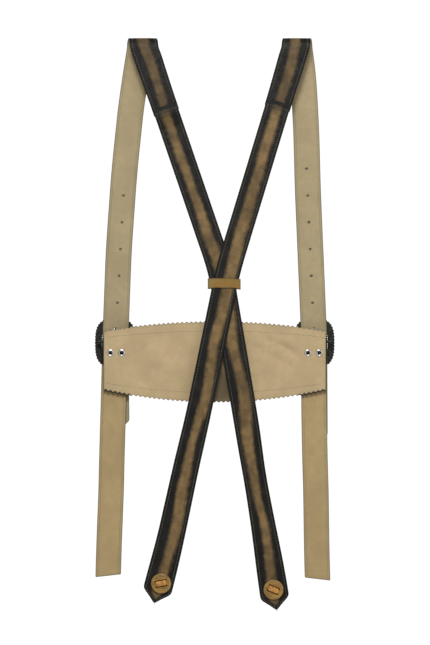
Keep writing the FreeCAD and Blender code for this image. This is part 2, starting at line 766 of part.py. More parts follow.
os.makedirs("parts", exist_ok=True)
for label in PARTS:
    shape = doc.getObjectsByLabel(label)[0].Shape
    if shape.isNull() or not shape.isValid() or not shape.Solids:
        raise RuntimeError(f"{label} has no valid solid")
    shape.exportStep(f"parts/{label}.step")
print(f"{len(PARTS)} sub-parts written")
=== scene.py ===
"""Leather trouser braces with a chest bar: the looks of every piece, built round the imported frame.

Metres, in the frame's own axes: +X to the right as seen from behind the wearer, +Y to the
front, +Z up. A strap is a row of points swept along its path, given thickness in two layers,
face leather outside and suede inside.
"""

import cmath
import json
import math
from collections import namedtuple

import bmesh
import bpy
import numpy as np
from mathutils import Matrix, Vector
from mathutils.kdtree import KDTree


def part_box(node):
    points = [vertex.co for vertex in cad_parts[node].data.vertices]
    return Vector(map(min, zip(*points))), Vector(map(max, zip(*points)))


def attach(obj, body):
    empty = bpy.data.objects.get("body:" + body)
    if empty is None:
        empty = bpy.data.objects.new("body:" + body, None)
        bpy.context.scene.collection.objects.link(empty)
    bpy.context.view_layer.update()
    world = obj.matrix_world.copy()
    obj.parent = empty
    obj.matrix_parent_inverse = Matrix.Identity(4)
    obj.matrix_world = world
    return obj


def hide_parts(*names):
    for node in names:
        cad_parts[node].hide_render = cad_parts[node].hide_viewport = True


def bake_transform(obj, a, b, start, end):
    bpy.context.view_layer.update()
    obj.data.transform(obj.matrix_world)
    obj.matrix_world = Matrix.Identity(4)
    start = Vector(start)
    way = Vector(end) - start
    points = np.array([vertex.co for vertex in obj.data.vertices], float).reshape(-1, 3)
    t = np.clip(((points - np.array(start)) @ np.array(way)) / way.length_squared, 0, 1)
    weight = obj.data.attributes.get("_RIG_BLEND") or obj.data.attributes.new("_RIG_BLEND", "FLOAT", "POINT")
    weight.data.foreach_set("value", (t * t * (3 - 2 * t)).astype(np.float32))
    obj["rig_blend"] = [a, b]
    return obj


bl_info = {
    "name": "Leather Braces",
    "version": (1, 0, 0),
    "blender": (4, 5, 0),
    "location": "3D View > Sidebar > Braces",
    "description": "Models leather trouser braces with a chest bar round their packed frame",
    "category": "Object",
}

MM = 0.001
SIDES = ("left", "right")
CLOSE = 1e-6
# How far a strap's bend reaches to each side of its bend line.
BEND_REACH = 16 * MM

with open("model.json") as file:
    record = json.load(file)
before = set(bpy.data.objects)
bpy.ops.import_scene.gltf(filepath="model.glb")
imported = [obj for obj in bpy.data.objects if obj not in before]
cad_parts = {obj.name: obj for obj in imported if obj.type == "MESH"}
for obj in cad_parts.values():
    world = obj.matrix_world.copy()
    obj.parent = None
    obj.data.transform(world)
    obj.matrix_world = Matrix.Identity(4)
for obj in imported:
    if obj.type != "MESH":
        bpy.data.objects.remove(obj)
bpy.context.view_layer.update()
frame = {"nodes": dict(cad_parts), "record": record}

# Middle lines of the straps as (x, z) in millimetres, from the top down. The leather bows out
# a little between the ends of the straight lines of its sizes.
STRAP_LINES = {
    "left": {
        "front": [(-84, 0), (-96, -68), (-104.5, -149), (-111, -240), (-115, -346.5), (-113.4, -454.5)],
        "back": [(-84, 0), (6.3, -264), (34.4, -430), (70.8, -653.4)],
        "lower": [(-115, -330), (-115, -346.5), (-118.5, -471), (-122.8, -617)],
    },
    "right": {
        "front": [
            (95, 0), (102, -45), (105.2, -100), (107, -170), (111.5, -275), (114.5, -346.5), (115, -454.5),
        ],
        "back": [(95, 0), (15, -264), (-19.2, -430), (-52, -575), (-69.6, -645.1)],
        "lower": [(114.5, -330), (114.5, -346.5), (113.9, -420), (114.9, -471), (118.3, -620)],
    },
}

# Width of the back straps as (width, z): their tails spread towards the buttons.
BACK_WIDTHS = {
    "left": [(28.5, 0), (28.5, -450), (26, -505), (28.5, -560), (32.6, -610), (33.4, -653.4)],
    "right": [(28.5, 0), (28.5, -420), (30, -500), (31.4, -575), (33.2, -610), (33.2, -645.1)],
}
BUTTON_TURN = {"left": math.radians(22), "right": math.radians(-9)}

# Creases of the shoulder straps as (x, z, x, z, width, height) in millimetres.
SHOULDER_CREASES = {
    "left": [
        (-120, -146, -88, -155, 3.0, 0.8), (-113, -60, -92, -52, 4.0, 0.5),
        (-126, -232, -100, -226, 4.0, 0.4),
    ],
    "right": [
        (90, -96, 118, -88, 4.0, 0.6), (96, -205, 122, -214, 4.0, 0.5),
        (98, -262, 126, -258, 3.0, 0.4),
    ],
}

BAR_CREASES = (
    (58, -336, 96, -352, 3.5, -2.3), (42, -350, 90, -376, 5.0, 2.0), (-62, -340, -90, -362, 4.5, 1.2),
    (70, -346, 100, -366, 2.6, 1.6), (30, -384, 70, -374, 4.0, -1.1), (-40, -378, -80, -366, 5.0, -1.1),
)

# A row of points across a strip: its middle, its lean from +X towards -Z, half its length, how
# far along the strip it lies, and how far it leans from square to the strip.
Row = namedtuple("Row", "middle lean half along skew")


def linear(code):
    """An sRGB hex colour as linear red, green and blue."""
    parts = [int(code[i : i + 2], 16) / 255 for i in (1, 3, 5)]
    return tuple(p / 12.92 if p <= 0.04045 else ((p + 0.055) / 1.055) ** 2.4 for p in parts)


# ---------------------------------------------------------------- settings


def length(name, description, value):
    return bpy.props.FloatProperty(
        name=name, description=description, default=value * MM, min=0, unit="LENGTH", precision=4
    )


def colour(name, description, code):
    return bpy.props.FloatVectorProperty(
        name=name, description=description, default=linear(code), min=0, max=1, subtype="COLOR"
    )


class BracesSizes(bpy.types.PropertyGroup):
    strap_width: length("Strap Width", "Width of the shoulder straps", 30.0)
    back_width: length("Back Width", "Width of the back straps", 28.5)
    lower_width: length("Lower Width", "Width of the lower straps", 29.4)
    face_thick: length("Face Thickness", "Face leather of the straps", 1.8)
    lining_thick: length("Lining Thickness", "Suede lining", 1.2)
    bar_face_thick: length("Bar Face Thickness", "Face leather of the chest bar", 1.6)
    row_pitch: length("Row Pitch", "Longest step between two rows of a strap's mesh", 5.0)
    stitch_inset: length("Stitch Inset", "Seam to the cut edge", 3.0)
    stitch_pitch: length("Stitch Pitch", "Stitch to stitch", 3.0)
    stitch_length: length("Stitch Length", "Thread that shows of one stitch", 2.3)
    thread: length("Thread", "Thickness of the thread", 0.52)
    tooth_pitch: length("Tooth Pitch", "Pinked tooth to tooth along the chest bar", 5.3)
    tooth_depth: length("Tooth Depth", "Depth of the pinked teeth", 1.7)
    rope_pitch: length("Rope Pitch", "Rope ridge to ridge round the buckle", 3.6)


class BracesFinish(bpy.types.PropertyGroup):
    leather_dark: colour("Leather Dark", "Antiqued zone of the face leather", "#100f0c")
    leather_worn: colour("Leather Worn", "Rubbed middle of the face leather", "#7c6440")
    leather_edge: colour("Leather Edge", "Dyed cut edge", "#0b0b09")
    strap_suede: colour("Strap Suede", "Lining of the shoulder straps", "#9d8e6e")
    lower_suede: colour("Lower Suede", "Lining of the lower straps", "#a08b64")
    bar_suede: colour("Bar Suede", "Lining of the chest bar", "#af9a76")
    keeper_suede: colour("Keeper Suede", "Loop round the crossing", "#7c6a40")
    horn: colour("Horn", "Tip buttons", "#84642c")
    lace: colour("Lace", "Laces of the tip buttons", "#b07a30")
    metal: colour("Buckle Metal", "Blackened metal of the buckles", "#2b2b26")
    nickel: colour("Nickel", "Eyelets", "#d2d1cc")
    thread: colour("Thread", "Seams", "#6e6b57")


# ---------------------------------------------------------------- bare steps


def clear():
    bpy.ops.object.select_all(action="DESELECT")


def activate(*objects):
    clear()
    for item in objects:
        item.select_set(True)
    bpy.context.view_layer.objects.active = objects[0]


def pick(item, test):
    """In edit mode, selects the points for which test(point) holds."""
    mesh = bmesh.from_edit_mesh(item.data)
    for vert in mesh.verts:
        vert.select_set(bool(test(vert.co)))
    mesh.select_flush_mode()
    bmesh.update_edit_mesh(item.data)


def slide(offset):
    bpy.ops.transform.translate(value=offset)


def turn(angle, axis, centre):
    """Turns what is selected by the right-hand rule about a main axis."""
    bpy.ops.transform.rotate(value=-angle, orient_axis=axis, center_override=centre)


def grow(factors, centre):
    bpy.ops.transform.resize(value=factors, center_override=centre)


def step(offset):
    """Extrudes what is selected by an offset, which leaves the new points selected."""
    bpy.ops.mesh.extrude_region_move(TRANSFORM_OT_translate={"value": offset})


def settle(item, modifier):
    activate(item)
    bpy.ops.object.modifier_apply(modifier=modifier.name)


def finish_with(item, kind, **settings):
    """Adds a modifier with its settings and applies it."""
    modifier = item.modifiers.new(kind.title(), kind)
    for key, value in settings.items():
        setattr(modifier, key, value)
    settle(item, modifier)
    return item


def smooth(item, levels=1):
    return finish_with(item, "SUBSURF", levels=levels, render_levels=levels)


def join(name, *items):
    activate(*items)
    if len(items) > 1:
        bpy.ops.object.join()
    items[0].name = items[0].data.name = name
    return items[0]


def copy_of(item, name):
    activate(item)
    bpy.ops.object.duplicate()
    made = bpy.context.object
    made.name = made.data.name = name
    return made


def settle_shell(item, angle=None):
    """Puts the piece's place in its mesh, turns its faces outwards and shades it smooth."""
    activate(item)
    bpy.ops.object.transform_apply(location=True, rotation=True, scale=True)
    mesh = bmesh.new()
    mesh.from_mesh(item.data)
    inside_out = mesh.calc_volume(signed=True) < 0
    mesh.free()
    if inside_out:
        bpy.ops.object.mode_set(mode="EDIT")
        bpy.ops.mesh.select_all(action="SELECT")
        bpy.ops.mesh.flip_normals()
        bpy.ops.object.mode_set(mode="OBJECT")
    if angle is None:
        bpy.ops.object.shade_smooth()
    else:
        bpy.ops.object.shade_smooth_by_angle(angle=angle)
    return item


def punch(item, *tools):
    """Cuts the tools out of the piece. The tools stay."""
    for tool in tools:
        finish_with(item, "BOOLEAN", operation="DIFFERENCE", solver="EXACT", object=tool)
    return item


def scrap(*items):
    for item in items:
        bpy.data.objects.remove(item)


# ---------------------------------------------------------------- strips


def across(lean):
    return Vector((math.cos(lean), 0, -math.sin(lean)))


def rounded(points):
    """Points of a line as y + iz whose corners, given as (y, z, radius), are rounded."""
    spots = [complex(y, z) for y, z, _ in points]
    found = []
    for i, (_, _, radius) in enumerate(points):
        here = spots[i]
        if radius == 0:
            found.append(here)
            continue
        into = (here - spots[i - 1]) / abs(here - spots[i - 1])
        out = (spots[i + 1] - here) / abs(spots[i + 1] - here)
        bend = cmath.phase(out / into)
        start = here - into * radius * math.tan(abs(bend) / 2)
        centre = start + 1j * into * math.copysign(radius, bend)
        steps = max(2, math.ceil(abs(bend) / math.radians(15)))
        turns = [cmath.exp(1j * bend * k / steps) for k in range(steps + 1)]
        found += [centre + (start - centre) * t for t in turns]
    return [p for k, p in enumerate(found) if k == 0 or abs(p - found[k - 1]) > CLOSE]


def spread(points, pitch):
    """The same line with no step longer than pitch(z) tells."""
    found = points[:1]
    for last, here in zip(points, points[1:]):
        gap = abs(here - last)
        count = max(1, math.ceil(gap / pitch((last.imag + here.imag) / 2)))
        found += [last + (here - last) * k / count for k in range(1, count + 1)]
    return found


def x_at(line, z):
    """X of a middle line at a height, with its bends eased over a few centimetres."""
    ease = 18 * MM
    heights = [h * MM for _, h in line]
    total = 0
    for k in (-1, -0.5, 0, 0.5, 1):
        h = min(max(z + k * ease, heights[-1]), heights[0])
        for (x0, _), (x1, _), top, low in zip(line, line[1:], heights, heights[1:]):
            if low <= h <= top:
                slope = (x1 - x0) * MM / (low - top)
                total += x0 * MM + slope * (h - top) + slope * (z + k * ease - h)
                break
    return total / 5


def ease(value):
    value = min(max(value, 0), 1)
    return value * value * (3 - 2 * value)


def strap_rows(spots, line_of, width, lean_of=None, half_of=None, smoothing=0):
    """Rows square to a strap that follows spots in Y and Z and line_of(spot) in X.

    lean_of(row number, spot, lean) and half_of(...) change a row's lean and half length."""
    rows = []
    along = 0
    middles = [Vector((line_of(i, p), p.real, p.imag)) for i, p in enumerate(spots)]
    squares = []
    for i, middle in enumerate(middles):
        last, following = middles[max(i - 1, 0)], middles[min(i + 1, len(middles) - 1)]
        way = following - last
        squares.append(math.atan2(way.x, math.hypot(way.y, way.z)) * (1 if way.z >= 0 else -1))
    if smoothing:
        padded = np.pad(squares, smoothing, mode="edge")
        weights = np.hanning(2 * smoothing + 3)[1:-1]
        squares = np.convolve(padded, weights / weights.sum(), mode="valid").tolist()
    for i, (middle, square) in enumerate(zip(middles, squares)):
        if i:
            along += (middle - middles[i - 1]).length
        lean = lean_of(i, middle, square) if lean_of else square
        half = (width(middle.z) if callable(width) else width) / 2 / math.cos(lean - square)
        if half_of:
            half *= half_of(i, middle)
        rows.append(Row(middle, lean, half, along, lean - square))
    return rows


def strip(name, rows, columns, outside, closed=False):
    """Sweeps a row of points from row to row by extruding it.

    columns are the points' places across, from -1 to 1. outside is the way that the first face
    looks. The mesh holds "lay", the place across, the place along and the distance to the cut
    edge, for the finishes."""
    clear()
    bpy.ops.mesh.primitive_grid_add(x_subdivisions=len(columns) - 1, y_subdivisions=1, size=2)
    item = bpy.context.object
    item.name = item.data.name = name
    bpy.ops.object.mode_set(mode="EDIT")
    pick(item, lambda co: co.y > 0)
    bpy.ops.mesh.delete(type="VERT")
    places = sorted(v.co.x for v in bmesh.from_edit_mesh(item.data).verts)
    # each point moves away from its neighbours first, so no two ever meet
    order = range(len(columns))
    outwards = [k for k in order if columns[k] <= places[k]]
    outwards += [k for k in reversed(order) if columns[k] > places[k]]
    for k in outwards:
        pick(item, lambda co, at=places[k]: abs(co.x - at) < CLOSE)
        slide((columns[k] - places[k], 0, 0))
    bpy.ops.mesh.select_all(action="SELECT")
    slide((0, 1, 0))
    first = rows[0]
    grow((first.half,) * 3, (0, 0, 0))
    turn(first.lean, "Y", (0, 0, 0))
    slide(first.middle)
    for last, row in zip(rows, rows[1:]):
        step(row.middle - last.middle)
        if abs(row.lean - last.lean) > CLOSE:
            turn(row.lean - last.lean, "Y", row.middle)
        if abs(row.half - last.half) > CLOSE:
            grow((row.half / last.half,) * 3, row.middle)
    if closed:
        bpy.ops.mesh.select_all(action="SELECT")
        bpy.ops.mesh.remove_doubles(threshold=CLOSE * 20)
    bpy.ops.object.mode_set(mode="OBJECT")
    if item.data.polygons[0].normal.dot(outside) < 0:
        bpy.ops.object.mode_set(mode="EDIT")
        bpy.ops.mesh.select_all(action="SELECT")
        bpy.ops.mesh.flip_normals()
        bpy.ops.object.mode_set(mode="OBJECT")
    mark(item, rows, columns, closed)
    return item


def mark(item, rows, columns, closed):
    """Writes "lay" on a strip's points, and each point's row and column for later use."""
    tree = KDTree(len(rows) * len(columns))
    flat = np.zeros((len(rows), len(columns), 3))
    for i, row in enumerate(rows):
        for k, column in enumerate(columns):
            tree.insert(row.middle + across(row.lean) * row.half * column, i * len(columns) + k)
            reach = row.half * column
            flat[i, k, :2] = reach * math.cos(row.skew), row.along + reach * math.sin(row.skew)
    tree.balance()
    sides = [flat[:, 0, :2], flat[:, -1, :2]]
    if not closed:
        sides += [flat[0, :, :2], flat[-1, :, :2]]
    points = flat[:, :, :2].reshape(-1, 2)
    nearest = np.full(len(points), 1.0)
    for side in sides:
        for a, b in zip(side, side[1:]):
            run = b - a
            share = np.clip(((points - a) @ run) / max(run @ run, 1e-12), 0, 1)
            nearest = np.minimum(nearest, np.linalg.norm(points - a - share[:, None] * run, axis=1))
    flat[:, :, 2] = nearest.reshape(len(rows), len(columns))
    flat = flat.reshape(-1, 3)
    found = item.data.attributes
    found.new("lay", "FLOAT_VECTOR", "POINT")
    found.new("place", "INT", "POINT")
    lay, place = found["lay"], found["place"]
    for vert in item.data.vertices:
        _, index, miss = tree.find(vert.co)
        if miss > 0.2 * MM:
            raise RuntimeError(f"{item.name}: a point lies {miss / MM:.2f} mm off its row")
        lay.data[vert.index].vector = flat[index]
        place.data[vert.index].value = index


def fullness(item, share_of, count):
    """Vertex group of how thick a strip is at each point: share_of(row, column) of the full."""
    group = item.vertex_groups.new(name="fullness")
    place = item.data.attributes["place"]
    for vert in item.data.vertices:
        row, column = divmod(place.data[vert.index].value, count)
        group.add([vert.index], share_of(row, column), "REPLACE")


def layer(base, name, thickness, offset, levels=1):
    """A copy of a strip with thickness on one side of it: offset 1 outside, -1 inside."""
    made = copy_of(base, name)
    finish_with(
        made, "SOLIDIFY", thickness=thickness, offset=offset, use_rim=True,
        vertex_group="fullness", thickness_vertex_group=0.0,
    )
    if levels:
        smooth(made, levels)
    return settle_shell(made)


def crease(base, x0, z0, x1, z1, width, height):
    """Raises a crease in a strip's front half along a line, all sizes in millimetres."""
    start, way = Vector((x0, z0)) * MM, Vector((x1 - x0, z1 - z0)) * MM
    group = base.vertex_groups.new(name="crease")
    for vert in base.data.vertices:
        spot = Vector((vert.co.x, vert.co.z)) - start
        share = min(max(spot.dot(way) / way.dot(way), 0), 1)
        off = (spot - way * share).length / (width * MM)
        fade = ease(4 * share * (1 - share) + 0.3) * (vert.co.y > -4 * MM)
        group.add([vert.index], math.exp(-off * off) * fade, "REPLACE")
    finish_with(
        base, "DISPLACE", direction="Y", strength=height * MM, mid_level=0, vertex_group=group.name
    )


def seam_columns(half, sizes):
    """Places across a strap: cut edge, its rounding, the seam's groove, and the body."""
    inset = sizes.stitch_inset
    near = [0, 0.45 * MM, inset - 1.2 * MM, inset, inset + 1.2 * MM, inset + 4 * MM]
    outer = [1 - d / half for d in near]
    return [-c for c in outer] + [0] + outer[::-1]


# How thick the leather is at those places, and how deep the thread sinks into it.
SEAM_SHARES = [0.78, 0.93, 0.97, 0.82, 0.97, 1.0, 1.0, 1.0, 0.97, 0.82, 0.97, 0.93, 0.78]
SEAM_DEPTH = 0.84


def seam_path(rows, side, inset, lift, first, last):
    """The line of a seam: inset from one edge of a strap and lifted off its middle surface."""
    chosen = rows[first:last]
    points = []
    for i, row in enumerate(chosen):
        way = chosen[min(i + 1, len(chosen) - 1)].middle - chosen[max(i - 1, 0)].middle
        normal = way.cross(across(row.lean)).normalized()
        reach = max(row.half - inset / math.cos(row.skew), 0)
        points.append(row.middle + across(row.lean) * side * reach + normal * lift)
        if reach == 0:
            break
    return points


def edge_seams(rows, sizes, first, lining_last=None):
    """Seams along both edges of a strap, in the grooves of its face and of its lining."""
    lifts = (
        (SEAM_DEPTH * sizes.face_thick, None),
        (-SEAM_DEPTH * sizes.lining_thick, lining_last),
    )
    return [
        seam_path(rows, edge, sizes.stitch_inset, lift, first, last)
        for edge in (-1, 1)
        for lift, last in lifts
    ]


def sew(name, paths, sizes):
    """Stitches along each path: one stitch, repeated and laid along the path."""
    made = []
    for points in paths:
        guide = bpy.data.curves.new("guide", "CURVE")
        guide.dimensions = "3D"
        spline = guide.splines.new("POLY")
        spline.points.add(len(points) - 1)
        for spot, point in zip(spline.points, points):
            spot.co = (*point, 1)
        path = bpy.data.objects.new("guide", guide)
        bpy.context.scene.collection.objects.link(path)
        clear()
        bpy.ops.mesh.primitive_uv_sphere_add(
            segments=6, ring_count=6, radius=0.5, rotation=(0, math.pi / 2, 0)
        )
        stitch = bpy.context.object
        bpy.ops.object.transform_apply(location=True, rotation=True, scale=True)
        bpy.ops.object.mode_set(mode="EDIT")
        bpy.ops.mesh.select_all(action="SELECT")
        grow((sizes.stitch_length, sizes.thread, sizes.thread), (0, 0, 0))
        pick(stitch, lambda co: abs(co.x) < 0.3 * sizes.stitch_length)
        grow((1.25, 1, 1), (0, 0, 0))
        bpy.ops.mesh.select_all(action="SELECT")
        turn(math.radians(8), "Z", (0, 0, 0))
        slide((sizes.stitch_pitch / 2, 0, 0))
        bpy.ops.object.mode_set(mode="OBJECT")
        finish_with(
            stitch, "ARRAY", fit_type="FIT_CURVE", curve=path, use_relative_offset=False,
            use_constant_offset=True, constant_offset_displace=(sizes.stitch_pitch, 0, 0),
        )
        finish_with(stitch, "CURVE", object=path, deform_axis="POS_X")
        scrap(path)
        made.append(stitch)
    return settle_shell(join(name, *made))


def tube(name, radius, spots, vertices=12):
    """A round bar through spots, each (point, radius share), closed at both ends."""
    way = (spots[1][0] - spots[0][0]).normalized()
    tilt = math.atan2(way.y, way.z)
    clear()
    bpy.ops.mesh.primitive_circle_add(vertices=vertices, radius=radius, fill_type="NGON")
    item = bpy.context.object
    item.name = item.data.name = name
    bpy.ops.object.mode_set(mode="EDIT")
    bpy.ops.mesh.select_all(action="SELECT")
    turn(-tilt, "X", (0, 0, 0))
    slide(spots[0][0])
    for (last, share), (here, new_share) in zip(spots, spots[1:]):
        step(here - last)
        grow((new_share / share,) * 3, here)
    bpy.ops.object.mode_set(mode="OBJECT")
    return item


def lathe(name, profile, centre, steps, levels=1, angle=None):
    """Spins a profile of (radius, y) points round the Y axis through centre."""
    clear()
    bpy.ops.mesh.primitive_plane_add(size=1)
    item = bpy.context.object
    item.name = item.data.name = name
    bpy.ops.object.mode_set(mode="EDIT")
    bpy.ops.mesh.merge(type="CENTER")
    spots = [Vector((centre[0] + r, y, centre[2])) for r, y in profile]
    slide(spots[0])
    for last, here in zip(spots, spots[1:]):
        step(here - last)
    bpy.ops.mesh.select_all(action="SELECT")
    bpy.ops.mesh.spin(steps=steps, angle=2 * math.pi, center=centre, axis=(0, 1, 0))
    bpy.ops.mesh.select_all(action="SELECT")
    bpy.ops.mesh.remove_doubles(threshold=CLOSE * 10)
    bpy.ops.mesh.normals_make_consistent(inside=False)
    bpy.ops.object.mode_set(mode="OBJECT")
    smooth(item, levels)
    return settle_shell(item, angle)


def cutter(radius, length_z, place, vertices=20):
    """A round tool along Y, made length_z longer upwards to cut a slot."""
    clear()
    bpy.ops.mesh.primitive_cylinder_add(
        vertices=vertices, radius=radius, depth=0.12, location=place, rotation=(math.pi / 2, 0, 0)
    )
    item = bpy.context.object
    bpy.ops.object.transform_apply(location=True, rotation=True, scale=True)
    if length_z:
        bpy.ops.object.mode_set(mode="EDIT")
        pick(item, lambda co: co.z > place[2] + CLOSE)
        slide((0, 0, length_z))
        bpy.ops.object.mode_set(mode="OBJECT")
    return item


# ---------------------------------------------------------------- materials

# A Mix of colours has its share at socket 0, its colours at 6 and 7 and its result at output 2.
COLOURS = {"data_type": "RGBA"}
SMOOTH = {"interpolation_type": "SMOOTHSTEP"}


def add(tree, kind, inputs=None, out=0, **settings):
    """Adds a node with its settings and links and gives one of its outputs.

    inputs holds, by socket, a value or another node's output. With out None it gives the node."""
    made = tree.nodes.new("ShaderNode" + kind)
    for key, value in settings.items():
        setattr(made, key, value)
    for socket, value in (inputs or {}).items():
        if isinstance(value, bpy.types.NodeSocket):
            tree.links.new(value, made.inputs[socket])
        else:
            made.inputs[socket].default_value = value
    return made if out is None else made.outputs[out]


def begin(name):
    """A material, its empty tree and the place on the object."""
    material = bpy.data.materials.new(name)
    material.use_nodes = True
    tree = material.node_tree
    tree.nodes.clear()
    return material, tree, add(tree, "TexCoord", out="Object")


def per(size_mm):
    """The scale that makes a pattern's features about size_mm large."""
    return 1 / (size_mm * MM)


def rgba(value):
    return (*value, 1.0)


def shade(value, factor):
    return (*(min(v * factor, 1) for v in value), 1.0)


def face_leather(finish, name="Antiqued vegetable-tanned leather", wear=1.0, tone=1.0, bias=0.0):
    """Drum-dyed nearly black, then rubbed back: brown shows down the middle of a strap, the cut
    edges are dyed and burnished, and a fine pebbled grain breaks up a low gloss."""
    material, tree, place = begin(name)
    lay = add(tree, "Attribute", out="Vector", attribute_name="lay")
    side, along, inset = add(tree, "SeparateXYZ", {0: lay}, None).outputs
    # the rubbed band wanders along the strap, and its width and its border change
    run = add(tree, "CombineXYZ", {"Y": along, "Z": 0.31})
    drift = add(tree, "TexNoise", {"Vector": run, "Scale": per(90), "Detail": 1})
    breadth = add(tree, "TexNoise", {"Vector": place, "Scale": per(110), "Detail": 1})
    ragged = add(tree, "TexNoise", {"Vector": place, "Scale": per(6), "Detail": 4})
    off = add(tree, "Math", {0: drift, 1: 12 * MM, 2: side}, operation="MULTIPLY_ADD")
    off = add(tree, "Math", {0: off, 1: (6 + bias) * MM}, operation="SUBTRACT")
    off = add(tree, "Math", {0: off}, operation="ABSOLUTE")
    off = add(tree, "Math", {0: breadth, 1: 9 * MM, 2: off}, operation="MULTIPLY_ADD")
    off = add(tree, "Math", {0: ragged, 1: 4.5 * MM, 2: off}, operation="MULTIPLY_ADD")
    rubbed = add(tree, "MapRange", {0: off, 1: 9.6 * MM, 2: 15.6 * MM, 3: wear, 4: 0}, **SMOOTH)
    patchy = add(tree, "TexNoise", {"Vector": place, "Scale": per(48), "Detail": 3})
    patchy = add(tree, "MapRange", {0: patchy, 1: 0.32, 2: 0.58, 3: 0.6, 4: 1}, **SMOOTH)
    # fibres lie along the strap, 0.7 mm apart and 12 mm long
    fibre = add(tree, "Math", {0: side, 1: 12 / 0.7}, operation="MULTIPLY")
    fibre = add(tree, "CombineXYZ", {"X": fibre, "Y": along})
    fibre = add(tree, "TexNoise", {"Vector": fibre, "Scale": per(12), "Detail": 2})
    fibre = add(tree, "MapRange", {0: fibre, 1: 0.25, 2: 0.65, 3: 0.72, 4: 1}, **SMOOTH)
    # points and ends are seldom rubbed
    inner = add(tree, "MapRange", {0: inset, 1: 2.5 * MM, 2: 6 * MM}, **SMOOTH)
    lower = add(tree, "MapRange", {0: along, 1: 5 * MM, 2: 18 * MM, 3: 0.3, 4: 1}, **SMOOTH)
    share = rubbed
    for factor in (patchy, fibre, inner, lower):
        share = add(tree, "Math", {0: share, 1: factor}, operation="MULTIPLY")
    pair = (
        (14, 0.7, shade(finish.leather_dark, 0.5), shade(finish.leather_dark, 1.7)),
        (9, 0.65, shade(finish.leather_worn, 0.78 * tone), shade(finish.leather_worn, 1.15 * tone)),
    )
    mixed = []
    for size, high, first, second in pair:
        cloud = add(tree, "TexNoise", {"Vector": place, "Scale": per(size), "Detail": 3})
        cloud = add(tree, "MapRange", {0: cloud, 1: 0.35, 2: high}, **SMOOTH)
        mixed.append(add(tree, "Mix", {0: cloud, 6: first, 7: second}, 2, **COLOURS))
    dark, warm = mixed
    body = add(tree, "Mix", {0: share, 6: dark, 7: warm}, 2, **COLOURS)
    edge = add(tree, "MapRange", {0: inset, 1: 0.9 * MM, 2: 2.4 * MM, 3: 1, 4: 0}, **SMOOTH)
    base = add(tree, "Mix", {0: edge, 6: body, 7: rgba(finish.leather_edge)}, 2, **COLOURS)
    rough = add(tree, "TexNoise", {"Vector": place, "Scale": per(3), "Detail": 3})
    rough = add(tree, "MapRange", {0: rough, 1: 0.3, 2: 0.7, 3: 0.46, 4: 0.66}, **SMOOTH)
    # grain pebbles are about 0.5 mm, drawn at 0.9 mm to show
    pebble = add(tree, "TexVoronoi", {"Vector": place, "Scale": per(0.9), "Randomness": 0.9})
    grain = add(tree, "Bump", {"Height": pebble, "Distance": 0.1 * MM, "Strength": 0.45})
    lumps = add(tree, "TexNoise", {"Vector": place, "Scale": per(5), "Detail": 4})
    normal = {"Height": lumps, "Distance": 0.35 * MM, "Strength": 0.5, "Normal": grain}
    normal = add(tree, "Bump", normal)
    surface = add(tree, "BsdfPrincipled", {
        "Base Color": base, "Roughness": rough, "Specular IOR Level": 0.2, "Normal": normal,
    })
    add(tree, "OutputMaterial", {"Surface": surface}, None)
    return material


